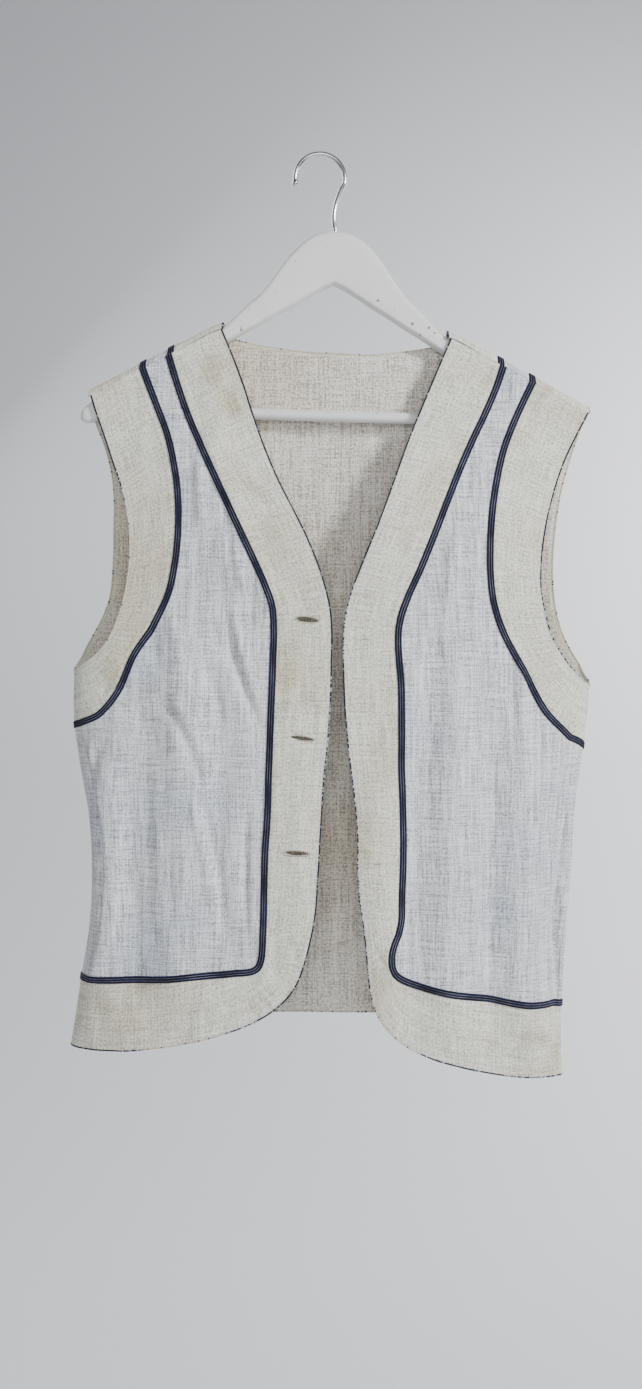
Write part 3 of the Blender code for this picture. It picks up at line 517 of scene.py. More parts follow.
# Sewing threads: half width and half height, sides, and strength and pitch of the twist
STITCH_THREAD = (0.36, 0.3, 6, 0.3, 1.1)
LOOSE_THREAD = (0.38, 0.32, 6, 0.25, 0.9)
# A thread remain: rings, wave across the cloth, and height of its middle and drop of its ends
LOOSE_RINGS = 13
LOOSE_WAVE = 0.5
LOOSE_LIFT = 0.45
LOOSE_DROP = 1.1

# Thread remains on the image's right front, where buttons sat: x, height, lean in degrees, length
THREAD_REMAINS = [(39.0, -436.0, 12.0, 6.0), (45.0, -536.0, -20.0, 5.0), (49.0, -632.0, -6.0, 8.0)]

# How much of the overcast edge is dark, down each edge: (share of its length, share that is dark)
EDGE_DARK = {
    "edging_front_right": [(0, .95), (.30, .95), (.39, .9), (.43, .45), (.50, .45), (.54, .9), (.78, .85),
                           (.83, .08), (.90, .12), (.93, .92), (1, .92)],
    "edging_front_left": [(0, .9), (.28, .9), (.31, .45), (.37, .45), (.39, .95), (.44, .95), (.47, .5),
                          (.72, .5), (.76, .08), (.82, .1), (.84, .95), (.91, .9), (.93, .5), (1, .6)],
    "edging_armhole_right": [(0, .95), (.12, .9), (.17, .3), (.22, .04), (1, .04)],
    "edging_armhole_left": [(0, .9), (.26, .9), (.34, .45), (.45, .3), (.50, .04), (1, .04)],
    "edging_back_neck": [(0, .9), (.10, .5), (.22, .05), (.78, .05), (.90, .5), (1, .9)],
    "edging_back_hem": [(0, .7), (.2, .12), (.8, .12), (1, .7)],
}

# Chips in the paint: x, height and size
CHIPS = [(85.5, -150.5, 2.6), (100.5, -153.5, 2.2), (105.5, -158.0, 1.8), (93.0, -160.0, 1.2)]


def ease(share):
    """0 below 0, 1 above 1, and a soft rise between."""
    share = np.clip(share, 0.0, 1.0)
    return share * share * (3 - 2 * share)


def hermite(low, high, low_slope, high_slope, share):
    square = share * share
    cube = square * share
    start = (2 * cube - 3 * square + 1) * low + (cube - 2 * square + share) * low_slope
    return start + (3 * square - 2 * cube) * high + (cube - square) * high_slope


def read(knots, values, at):
    """A table's column on a smooth curve through its rows, held level past its ends."""
    at = np.clip(at, knots[0], knots[-1])
    slopes = np.gradient(values, knots)
    row = np.clip(np.searchsorted(knots, at, side="right") - 1, 0, len(knots) - 2)
    span = knots[row + 1] - knots[row]
    share = (at - knots[row]) / span
    return hermite(values[row], values[row + 1], slopes[row] * span, slopes[row + 1] * span, share)


def between_rows(rows, stations):
    """The rows of a table at fractional row numbers, on a smooth curve through every row."""
    rows = np.asarray(rows, float)
    slopes = np.gradient(rows, axis=0)
    row = np.clip(np.floor(stations).astype(int), 0, len(rows) - 2)
    share = (np.asarray(stations) - row)[:, None]
    return hermite(rows[row], rows[row + 1], slopes[row], slopes[row + 1], share)


def side_xs(height):
    """Middle and half width of the vest at a height."""
    left = read(SIDES[:, 0], SIDES[:, 1], height)
    right = read(SIDES[:, 0], SIDES[:, 2], height)
    return (left + right) / 2, (right - left) / 2


def shoulder_line(x):
    """Height of the top of the cloth over the hanger's arms."""
    out = np.abs(x - NECK_MIDDLE) - NECK_HALF
    fall = (out + np.sqrt(out * out + NECK_SOFTNESS**2)) / 2
    slope = np.where(x < NECK_MIDDLE, LEFT_SLOPE, RIGHT_SLOPE)
    return NECK_HEIGHT - NECK_LEAN * (x - NECK_MIDDLE) - slope * fall


def fold_rise(face, x, height):
    """How far the folds of one face stand out from it."""
    total = np.zeros_like(x)
    for side, top_x, middle_x, foot_x, top, foot, half_width, rise in FOLDS:
        down = np.clip((top - height) / (top - foot), 0.0, 1.0)
        bow = 4 * down * (1 - down) * (middle_x - (top_x + foot_x) / 2)
        away = x - (top_x + (foot_x - top_x) * down + bow)
        ends = ease(down / FOLD_RISES) * ease((1 - down) / FOLD_FADES)
        total += np.where(face == side, rise * ends * np.exp(-((away / half_width) ** 2)), 0.0)
    return total


def face_of(turn):
    """1 where a turn lies on the front, -1 where it lies on the back."""
    return np.where(np.cos(np.radians(turn)) >= 0, 1.0, -1.0)


def surface(turn, height):
    """Points of the vest's outer face, in millimetres."""
    middle, half = side_xs(height)
    across = np.sin(np.radians(turn))
    x = middle + half * across
    face = face_of(turn)
    centre = shoulder_line(x) - SHOULDER_RADIUS
    drop = np.maximum(centre - height, 0.0)
    depth = np.where(
        face > 0,
        read(DEPTHS[:, 0], DEPTHS[:, 1], height),
        read(DEPTHS[:, 0], DEPTHS[:, 2], height),
    )
    round_off = np.sqrt(np.maximum(1 - np.abs(across) ** 3, 0.0))
    apart = SHOULDER_RADIUS * (1 - ease((RING_STARTS - height) / (RING_STARTS - RING_CLOSES)))
    near_side = ease((1 - np.abs(across)) / SIDE_FADE)
    out = apart + depth * ease(drop / FULL_DEPTH_DROP) * round_off
    out = out + fold_rise(face, x, height) * near_side * ease(drop / FOLD_DROP)
    over = np.maximum(height - centre, 0.0) / SHOULDER_RADIUS
    y = np.where(over > 0, SHOULDER_RADIUS * np.cos(over), out)
    z = np.where(over > 0, centre + SHOULDER_RADIUS * np.sin(over), height)
    return np.stack([x, -face * y, z], axis=-1)


def points_at(places):
    """Points of the outer face at places, each a turn and a height."""
    return surface(places[..., 0], places[..., 1])


def unit(vectors):
    return vectors / np.linalg.norm(vectors, axis=-1, keepdims=True)


def dot(one, other):
    return np.sum(one * other, axis=1)


def lengths_along(points):
    """How far along a line each of its points lies."""
    return np.concatenate([[0.0], np.cumsum(np.linalg.norm(np.diff(points, axis=0), axis=1))])


def directions(places):
    """How the surface moves for one degree and for one millimetre of height."""
    turn, height = places[..., 0], places[..., 1]
    per_turn = surface(turn + PROBE, height) - surface(turn - PROBE, height)
    per_height = surface(turn, height + PROBE) - surface(turn, height - PROBE)
    return per_turn / (2 * PROBE), per_height / (2 * PROBE)


def outward(places):
    per_turn, per_height = directions(places)
    return unit(np.cross(per_turn, per_height))


def turn_at(face, x, height):
    """The turn of an x on the front (1) or the back (-1)."""
    middle, half = side_xs(height)
    turn = np.degrees(np.arcsin(np.clip((x - middle) / half, -1.0, 1.0)))
    return np.where(face > 0, turn, 180.0 - turn)


def over_start(places):
    """How far along the cloth each place lies above the height where it starts to bend over the arm."""
    x = points_at(places)[..., 0]
    return places[..., 1] - (shoulder_line(x) - SHOULDER_RADIUS)


def level_on_shoulder(places, over):
    """The places that bend over the shoulder, put back at their own distance from its start."""
    x = points_at(places)[..., 0]
    height = shoulder_line(x) - SHOULDER_RADIUS + over
    level = np.stack([turn_at(face_of(places[..., 0]), x, height), height], axis=-1)
    return np.where((over > -NEAR)[..., None], level, places)


def slid(line, distance):
    """A line on the cloth moved sideways in it: to the left of its run, as seen from outside.

    A place that bends over the shoulder moves along the shoulder line, and one at a side seam along it.
    """
    if distance == 0:
        return line
    start = points_at(line)
    along = unit(np.gradient(start, axis=0))
    target = start + distance * unit(np.cross(outward(line), along))
    places = line.copy()
    for _ in range(SLIDE_ROUNDS):
        miss = target - points_at(places)
        per_turn, per_height = directions(places)
        turn_size = dot(per_turn, per_turn)
        shared = dot(per_turn, per_height)
        height_size = dot(per_height, per_height)
        first = dot(per_turn, miss)
        second = dot(per_height, miss)
        turn_step = height_size * first - shared * second
        height_step = turn_size * second - shared * first
        scale = turn_size * height_size - shared * shared
        places = places + np.stack([turn_step / scale, height_step / scale], axis=1)
    places = level_on_shoulder(places, over_start(line))
    from_side = np.abs(np.abs((line[:, 0] + 180) % 360 - 180) - SIDE_TURN)
    places[:, 0] = np.where(from_side < 2 * SIDE_GAP_TURN, line[:, 0], places[:, 0])
    return places


def place(face, x, height):
    """The place on the front (1) or the back (-1) at an x. No height means the top of the front there,
    at the shoulder seam, or the height where the back starts to bend over the shoulder."""
    if height is None:
        height = float(shoulder_line(x)) - SHOULDER_RADIUS
        height += SHOULDER_SEAM - SEAM_GAP / 2 if face > 0 else 0.0
    if abs(x) == SIDE:
        turn = SIDE_TURN - face * SIDE_GAP_TURN
        return (math.copysign(turn, x) if face > 0 or x > 0 else 360.0 - turn), height
    return float(turn_at(face, x, float(height))), height


def stations_to_side(last, count):
    """Evenly spread row numbers, closer together over the last row, where the cloth rounds the side."""
    return np.append(np.linspace(0, last - 1, count - 3), last - np.array([2, 1, 0]) / 3)


def band_lines(face, table, stations):
    """Free edge and seam of a band, as two lines with a place for each station."""
    rows = [place(face, *row[:2]) + place(face, *row[2:]) for row in table]
    places = between_rows(rows, stations)
    return places[:, :2], places[:, 2:]


def armhole_lines(face, table):
    return band_lines(face, table, stations_to_side(len(table) - 1, ARMHOLE_STATIONS))


def front_stations(table, corner, level):
    """Row numbers down a front band: to the armhole's foot, to the hem's corner and along the hem."""
    upper = np.linspace(0, level, UPPER_STATIONS)
    lower = np.linspace(level, corner, LOWER_STATIONS)[1:]
    hem = corner + stations_to_side(len(table) - 1 - corner, HEM_STATIONS)[1:]
    return np.concatenate([upper, lower, hem])


def over_shoulder(line, x):
    """A back line led on from its first place over the hanger's arm to the shoulder seam in front."""
    end = 2 * HALF_ARC - SHOULDER_SEAM - SEAM_GAP / 2
    centre = float(shoulder_line(x)) - SHOULDER_RADIUS
    rows = [place(-1, x, centre + end * step / ARC_STEPS) for step in range(ARC_STEPS, 0, -1)]
    return np.vstack([rows, line])


def hem_lines():
    """The back hem's free edge and seam, with places closer together at both sides."""
    half = len(BACK_HEM) // 2
    stations = stations_to_side(half, BACK_HEM_STATIONS)
    left = band_lines(-1, BACK_HEM[half::-1], stations)
    right = band_lines(-1, BACK_HEM[half:], stations)
    return tuple(np.vstack([one[::-1], other[1:]]) for one, other in zip(left, right))


def back_armhole_lines(table):
    edge, seam = armhole_lines(-1, table)
    return over_shoulder(edge, table[0][0]), over_shoulder(seam, table[0][2])


def ruled(first, second, shares):
    """A grid between two lines: one row for each place along them, one column for each share."""
    shares = np.asarray(shares)[None, :, None]
    grid = first[:, None, :] * (1 - shares) + second[:, None, :] * shares
    over = over_start(first)[:, None] * (1 - shares[..., 0]) + over_start(second)[:, None] * shares[..., 0]
    return level_on_shoulder(grid, over)


def band_grid(edge, seam, inward):
    """A band's places, from its edging to its seam; inward is the slide that leads from edge to seam."""
    return grid_from_rim(slid(edge, inward * (EDGING_WIDTH + SEAM_GAP)), seam, inward)


def grid_from_rim(rim, seam, inward):
    grid = ruled(rim, slid(seam, -inward * BRAID_WIDTH / 2), [0, 0.5, 1])
    return np.concatenate([grid, slid(seam, -inward * SEAM_GAP / 2)[:, None]], axis=1)


def lining_grid(rim, band, seam):
    """The lining's places under a band: its own rim, the band's inner columns and the seam."""
    return np.concatenate([rim[:, None], band[:, 1:-1], seam[:, None]], axis=1)


def filled(left, right, bottom, left_braid=None, right_braid=None, bottom_braid=None):
    """The places of a panel between its left and right lines and its bottom line.

    A braid line, where one is given, becomes the column or row next to that side, as far as it goes.
    """
    rows, columns = len(left), len(bottom)
    down = np.linspace(0, 1, rows)[:, None, None]
    along = np.linspace(0, 1, columns)[None, :, None]
    grid = left[:, None] * (1 - along) + right[:, None] * along
    straight = bottom[0] * (1 - along[0]) + bottom[-1] * along[0]
    grid = grid + down * (bottom - straight)[None]
    over = over_start(grid[:, [0, -1]])
    over = over[:, :1] * (1 - along[..., 0]) + over[:, 1:] * along[..., 0]
    grid = level_on_shoulder(grid, over)
    wanted_left = grid[:, 1].copy()
    wanted_right = grid[:, -2].copy()
    if left_braid is not None:
        wanted_left[: len(left_braid)] = left_braid
    if right_braid is not None:
        wanted_right[: len(right_braid)] = right_braid
    inner = np.linspace(0, 1, columns - 2)[None, :, None]
    left_move = (wanted_left - grid[:, 1])[:, None]
    right_move = (wanted_right - grid[:, -2])[:, None]
    grid[:-1, 1:-1] += (left_move * (1 - inner) + right_move * inner)[:-1]
    grid = level_on_shoulder(grid, np.where(over > -NEAR, over, -1.0))
    if bottom_braid is not None:
        grid[-2, 1:-1] = bottom_braid[1:-1]
    return grid


def side_heights(top, foot, count, first=BRAID_WIDTH / 2):
    """Heights down a side seam, from just under the armhole's braid, closer above the hem's braid."""
    near = foot + np.array([*LAST_SIDE_ROWS, BRAID_WIDTH / 2])
    if first:
        far = np.linspace(top - first, near[0], count - 3)[:-1]
    else:
        far = np.linspace(top, near[0], count - 2)[1:-1]
    return np.concatenate([far, near, [foot]])


def braid_column(braid_side):
    """The braid's edge as a panel's column; it ends on the side seam, half a step on from the column."""
    column = braid_side.copy()
    column[-1] = (braid_side[-1] + braid_side[-2]) / 2
    return column


def front_panel_grid(seam, corner, armhole_seam, hand):
    """The panel between a front's bands: hand is -1 for the image's left front and 1 for its right."""
    rest = corner + 1 - len(armhole_seam)
    heights = side_heights(armhole_seam[-1, 1], seam[-1, 1], rest)
    side = np.stack([np.full(rest, armhole_seam[-1, 0]), heights], axis=1)
    outer_side = np.vstack([slid(armhole_seam, -hand * SEAM_GAP / 2), side])
    seam_cut = slid(seam, hand * SEAM_GAP / 2)
    seam_braid = slid(seam, hand * BRAID_WIDTH / 2)
    bottom = seam_cut[corner:][::-1]
    outer_side[-1] = bottom[0]
    bottom_braid = seam_braid[corner:][::-1].copy()
    bottom_braid[-2] = seam_braid[corner]
    outer_braid = braid_column(slid(armhole_seam, -hand * BRAID_WIDTH / 2))
    inner_side = seam_cut[: corner + 1]
    return filled(outer_side, inner_side, bottom, outer_braid, seam_braid[: corner - 1], bottom_braid)


def armhole_rings(hand, front_table, back_table):
    """The armhole's free edge all round, from the shoulder seam down the front and up the back."""
    front_edge, front_seam = armhole_lines(1, front_table)
    back_edge, back_seam = back_armhole_lines(back_table)
    turn_back = np.array([360.0 if hand < 0 else 0.0, 0.0])
    ring = np.vstack([front_edge, back_edge[::-1] - turn_back])
    seams = np.vstack([front_seam, back_seam[::-1] - turn_back])
    return ring, seams


def back_halves(neck, left, right, hem, inset):
    """Two grids that meet down the middle of the back, inside the four seams round it."""
    middle = len(neck) // 2
    centre = len(hem) // 2
    neck_in = slid(neck, inset)
    hem_in = slid(hem, -inset)
    rest = len(left) + SIDE_STATIONS - middle - 1
    heights = side_heights(neck_in[middle, 1], hem_in[centre, 1], rest, 0.0)
    turns = np.linspace(neck_in[middle, 0], hem_in[centre, 0], rest + 1)[1:]
    spine = np.stack([turns, heights], axis=1)
    hem_braid = slid(hem, -BRAID_WIDTH / 2)
    neck_braid = slid(neck, BRAID_WIDTH / 2)
    halves = []
    for hand, line in ((-1, left), (1, right)):
        end = hem_in[0] if hand < 0 else hem_in[-1]
        heights = side_heights(line[-1, 1], end[1], SIDE_STATIONS)
        turns = np.linspace(line[-1, 0], end[0], SIDE_STATIONS + 1)[1:]
        outer = np.vstack([slid(line, hand * inset), np.stack([turns, heights], axis=1)])
        outer_braid = braid_column(slid(line, hand * BRAID_WIDTH / 2))
        neck_half = slice(0, middle + 1) if hand < 0 else slice(None, middle - 1, -1)
        inner = np.vstack([neck_in[neck_half], spine])
        inner_braid = neck_braid[neck_half][:-1]
        hem_half = slice(0, centre + 1) if hand < 0 else slice(centre, None)
        lines = (outer, inner) if hand < 0 else (inner, outer)
        braids = (outer_braid, inner_braid) if hand < 0 else (inner_braid, outer_braid)
        halves.append(filled(*lines, hem_in[hem_half], *braids, hem_braid[hem_half]))
    return halves


def over_both_shoulders(line, first_x, last_x):
    line = over_shoulder(line, first_x)
    return over_shoulder(line[::-1], last_x)[::-1]


def finer_rows(grid, steps):
    """A grid with that many rows for each of its own, on smooth curves through them."""
    last = len(grid) - 1
    fine = between_rows(grid.reshape(len(grid), -1), np.linspace(0, last, last * steps + 1))
    return fine.reshape(-1, *grid.shape[1:])


def refined(grid, down, across=1, breaks=()):
    """A grid of places made finer on smooth curves, with a corner kept at each break row."""
    turns = np.unwrap(np.unwrap(grid[..., 0], period=360, axis=0), period=360, axis=1)
    grid = np.stack([turns, grid[..., 1]], axis=-1)
    stops = [0, *breaks, len(grid) - 1]
    parts = [finer_rows(grid[first : last + 1], down) for first, last in zip(stops, stops[1:])]
    grid = np.concatenate([parts[0], *(part[1:] for part in parts[1:])])
    if across > 1:
        grid = np.swapaxes(finer_rows(np.swapaxes(grid, 0, 1), across), 0, 1)
    return grid


# What scrambles the noise: a shift, a factor for each axis and for the seed, and a last one
NOISE_SHIFT = 61.7
NOISE_AXES = np.array([127.1, 311.7, 74.7])
NOISE_SEED = 17.3
NOISE_SCRAMBLE = 43758.5453


def noise(points, size, seed):
    """Smooth noise from -1 to 1 over points of two or three coordinates, its lumps about size across."""
    at = np.asarray(points, float) / size + NOISE_SHIFT
    low = np.floor(at)
    share = ease(at - low)
    total = np.zeros(at.shape[:-1])
    for corner in np.ndindex(*(2,) * at.shape[-1]):
        key = (low + corner) @ NOISE_AXES[: at.shape[-1]] + NOISE_SEED * seed
        value = np.mod(np.sin(key) * NOISE_SCRAMBLE, 1.0) * 2 - 1
        weight = np.prod(np.where(np.array(corner) == 1, share, 1 - share), axis=-1)
        total += weight * value
    return total


def crease_rise(face, x, height):
    total = np.zeros_like(x)
    for side, start_x, start_z, end_x, end_z, bow, half_width, rise in CREASES:
        along = np.array([end_x - start_x, end_z - start_z], float)
        length = np.linalg.norm(along)
        along = along / length
        from_x = x - start_x
        from_z = height - start_z
        down = (from_x * along[0] + from_z * along[1]) / length
        across = from_x * along[1] - from_z * along[0]
        across = across + 4 * bow * down * (1 - down)
        fade = ease(down / CREASE_RISES) * ease((1 - down) / CREASE_FADES)
        near = np.exp(-((across / half_width) ** 2))
        total += np.where(face == side, rise * fade * near, 0.0)
    return total


def lumps(spot, table):
    """Noise of several sizes together."""
    return sum(rise * noise(spot, size, seed) for size, rise, seed in table)


def relief(places):
    """How far creases and small unevenness lift the cloth at each place."""
    turn = places[..., 0]
    height = places[..., 1]
    x = points_at(places)[..., 0]
    face = face_of(turn)
    spot = np.stack([x, height, FACES_APART * face], axis=-1)
    ripples = lumps(spot * np.array(RIPPLES_DRAWN_OUT), RIPPLES)
    strength = LEAST_RIPPLES + (1 - LEAST_RIPPLES) * ease((RIPPLES_END - x * face) / (2 * RIPPLES_END))
    uneven = strength * ripples + lumps(spot, BUMPS)
    drop = shoulder_line(x) - SHOULDER_RADIUS - height
    calm = ease((drop - CALM_BELOW[0]) / CALM_BELOW[1])
    side = ease((1 - np.abs(np.sin(np.radians(turn)))) / CALM_SIDE)
    return (CREASE_STRENGTH * crease_rise(face, x, height) + uneven) * calm * side


def grid_uv(grid):
    """Lengths along a grid's columns and rows, in metres, for the weave."""
    points = points_at(grid)
    across = np.linalg.norm(np.diff(points, axis=1), axis=2)
    across = np.concatenate([np.zeros((len(grid), 1)), np.cumsum(across, axis=1)], axis=1)
    along = lengths_along(points[:, points.shape[1] // 2])
    along = np.repeat(along[:, None], grid.shape[1], axis=1)
    return np.stack([across, along], axis=-1) * MM


def upright_uv(grid):
    """The weave's own coordinates on a panel: lengths round the vest and down it, in metres."""
    turn = grid[..., 0]
    height = grid[..., 1]
    points = points_at(grid)
    fullest = np.abs(surface(np.where(face_of(turn) > 0, 0.0, 180.0), height)[..., 1])
    around = np.sign(np.sin(np.radians(turn))) * ROUND_SHARE * (fullest - np.abs(points[..., 1]))
    return np.stack([points[..., 0] + around, height], axis=-1) * MM


def add_to_scene(name, data):
    thing = bpy.data.objects.new(name, data)
    bpy.context.scene.collection.objects.link(thing)
    return thing


def mesh_object(name, points, faces, uvs, finish, sharp=50):
    """A smooth mesh object from points in millimetres, with the weave's coordinates on its corners."""
    mesh = bpy.data.meshes.new(name)
    mesh.from_pydata((points * MM).tolist(), [], faces)
    shape = bmesh.new()
    shape.from_mesh(mesh)
    bmesh.ops.recalc_face_normals(shape, faces=shape.faces)
    if shape.calc_volume(signed=True) < 0:
        bmesh.ops.reverse_faces(shape, faces=shape.faces)
    shape.to_mesh(mesh)
    shape.free()
    if uvs is not None:
        layer = mesh.uv_layers.new(name="cloth")
        corners = np.empty(len(mesh.loops), np.int32)
        mesh.loops.foreach_get("vertex_index", corners)
        layer.data.foreach_set("uv", np.asarray(uvs)[corners].astype(np.float32).ravel())
    mesh.materials.append(FINISHES[finish])
    mesh.shade_smooth()
    mesh.set_sharp_from_angle(angle=math.radians(sharp))
    return add_to_scene(name, mesh)


def ring_faces(rows, count):
    """Faces of a tube of rings, closed by one face at each end."""
    index = np.arange(rows * count).reshape(rows, count)
    after = np.roll(index, -1, axis=1)
    faces = np.stack([index[:-1], after[:-1], after[1:], index[1:]], axis=-1).reshape(-1, 4).tolist()
    return faces + [index[0][::-1].tolist(), index[-1].tolist()]


def runs_outward(grid):
    """Whether faces that follow a grid's rows and columns turn out of the vest."""
    one = grid[1:, 1:] - grid[:-1, :-1]
    other = grid[1:, :-1] - grid[:-1, 1:]
    return np.sum(one[..., 0] * other[..., 1] - one[..., 1] * other[..., 0]) >= 0


def shell(name, grids, uvs, tops, foots, finish):
    """A closed thin shell between two lifts over the cloth, joined where its grids share places."""
    places = []
    marks = []
    lifts = []
    blocks = []
    count = 0
    for number, grid in enumerate(grids):
        uv = uvs[number]
        lift = np.stack(np.broadcast_arrays(tops[number], foots[number], grid[..., 0])[:2], axis=-1)
        if not runs_outward(grid):
            grid, uv, lift = grid[::-1], uv[::-1], lift[::-1]
        index = np.arange(grid[..., 0].size).reshape(grid.shape[:2]) + count
        count += index.size
        corners = [index[:-1, :-1], index[:-1, 1:], index[1:, 1:], index[1:, :-1]]
        blocks.append(np.stack(corners, axis=-1).reshape(-1, 4))
        places.append(grid.reshape(-1, 2))
        marks.append(uv.reshape(-1, 2))
        lifts.append(lift.reshape(-1, 2))
    places = np.vstack(places)
    keys = np.round(np.stack([places[:, 0] % 360, places[:, 1]], axis=1), 2)
    _, first, same = np.unique(keys, axis=0, return_index=True, return_inverse=True)
    quads = same.reshape(-1)[np.vstack(blocks)]
    places = places[first]
    marks = np.vstack(marks)[first]
    lifts = np.vstack(lifts)[first]
    total = len(places)
    quads = quads[[len(set(quad)) > 2 for quad in quads.tolist()]]
    ends = np.concatenate([quads[:, [0, 1]], quads[:, [1, 2]], quads[:, [2, 3]], quads[:, [3, 0]]])
    ends = ends[ends[:, 0] != ends[:, 1]]
    codes = ends[:, 0].astype(np.int64) * total + ends[:, 1]
    back = ends[:, 1].astype(np.int64) * total + ends[:, 0]
    rim = ends[~np.isin(codes, back)]
    base = points_at(places)
    normal = outward(places)
    lifts = lifts + relief(places)[:, None]
    outer = base + lifts[:, :1] * normal
    inner = base + lifts[:, 1:] * normal
    faces = [tidy_face(face) for face in quads.tolist()]
    faces += [tidy_face([n + total for n in reversed(face)]) for face in quads.tolist()]
    faces += [[b, a, a + total, b + total] for a, b in rim.tolist()]
    return mesh_object(name, np.vstack([outer, inner]), faces, np.vstack([marks, marks]), finish)


def tidy_face(face):
    """A face without a corner that is there twice."""
    return [n for i, n in enumerate(face) if n != face[i - 1]]


def leaned(points):
    """Points of the upright hanger, leaned about the hook's hanging point."""
    angle = math.radians(HANGER_LEAN)
    x = points[..., 0] * math.cos(angle) + points[..., 2] * math.sin(angle)
    z = points[..., 2] * math.cos(angle) - points[..., 0] * math.sin(angle)
    return np.stack([x, points[..., 1], z], axis=-1)


class Graph:
    """A material's nodes, joined by short calls. A value is a number, a colour or another node's output."""

    def __init__(self, name):
        self.material = bpy.data.materials.new(name)
        self.material.use_nodes = True
        self.tree = self.material.node_tree
        self.shader = self.tree.nodes["Principled BSDF"]

    def put(self, socket, value):
        if isinstance(value, bpy.types.NodeSocket):
            self.tree.links.new(value, socket)
        elif isinstance(value, tuple) and len(value) == 3 and socket.type == "RGBA":
            socket.default_value = (*value, 1.0)
        else:
            socket.default_value = value

    def add(self, kind, inputs=(), **settings):
        made = self.tree.nodes.new(kind)
        for key, value in settings.items():
            setattr(made, key, value)
        for key, value in dict(inputs).items():
            self.put(made.inputs[key], value)
        return made

    def finish(self, **values):
        for key, value in values.items():
            self.put(self.shader.inputs[key.replace("_", " ")], value)
        return self.material

    def math(self, operation, first, second=0.0, clamp=False):
        made = self.add("ShaderNodeMath", {0: first, 1: second}, operation=operation, use_clamp=clamp)
        return made.outputs[0]

    def weigh(self, base, *parts):
        """A base value plus the weighted distance of each value from a half, held between 0 and 1."""
        total = base - sum(weight for _, weight in parts) / 2
        for number, (value, weight) in enumerate(parts, 1):
            made = self.add(
                "ShaderNodeMath",
                {0: value, 1: weight, 2: total},
                operation="MULTIPLY_ADD",
                use_clamp=number == len(parts),
            )
            total = made.outputs[0]
        return total

    def mix(self, share, first, second, blend="MIX"):
        made = self.add("ShaderNodeMix", data_type="RGBA", blend_type=blend)
        self.put(made.inputs[0], share)
        self.put(made.inputs[6], first)
        self.put(made.inputs[7], second)
        return made.outputs[2]

    def between(self, value, low, high, to_low=0.0, to_high=1.0):
        made = self.add(
            "ShaderNodeMapRange",
            {"Value": value, "From Min": low, "From Max": high, "To Min": to_low, "To Max": to_high},
            interpolation_type="SMOOTHSTEP",
        )
        return made.outputs[0]

    def times(self, vector, scales):
        made = self.add("ShaderNodeVectorMath", {0: vector, 1: scales}, operation="MULTIPLY")
        return made.outputs[0]

    def noise(self, vector, scale, detail=2.0, distortion=0.0):
        made = self.add(
            "ShaderNodeTexNoise",
            {"Vector": vector, "Scale": scale, "Detail": detail, "Distortion": distortion},
        )
        return made.outputs["Fac"]

    def streaks(self, vector, scales, detail=2.0, distortion=0.0):
        """Noise with a scale of its own along each axis."""
        return self.noise(self.times(vector, scales), 1.0, detail, distortion)

    def uv(self):
        """The weave's coordinates in millimetres."""
        found = self.add("ShaderNodeUVMap", uv_map="cloth").outputs[0]
        return self.times(found, (1 / MM, 1 / MM, 0.0))

    def split(self, vector):
        return self.add("ShaderNodeSeparateXYZ", {0: vector}).outputs

    def place(self):
        return self.add("ShaderNodeTexCoord").outputs["Object"]

    def bump(self, height, distance):
        made = self.add("ShaderNodeBump", {"Height": height, "Distance": distance, "Strength": 1.0})
        return made.outputs[0]


# Linen kinds: thread pitch, light, dark, patch and stain colours, strength of the threads, of the streaks
# down and across and of the broad bands, share of pale slubs, and relief in metres
LINENS = {
    "panel": (0.55, (0.94, 0.95, 0.965), (0.31, 0.335, 0.37), (0.84, 0.88, 0.96), (0.78, 0.77, 0.72),
              1.9, 2.0, 2.0, 1.2, 0.12, 0.00034),
    "band": (0.60, (0.97, 0.965, 0.875), (0.44, 0.425, 0.34), (0.88, 0.84, 0.69), (0.62, 0.57, 0.44),
             2.3, 1.5, 1.5, 0.5, 0.12, 0.00034),
    "lining": (0.95, (0.97, 0.93, 0.86), (0.42, 0.375, 0.31), (0.84, 0.79, 0.70), (0.56, 0.51, 0.43),
               3.2, 2.2, 2.0, 1.0, 0.45, 0.00050),
}


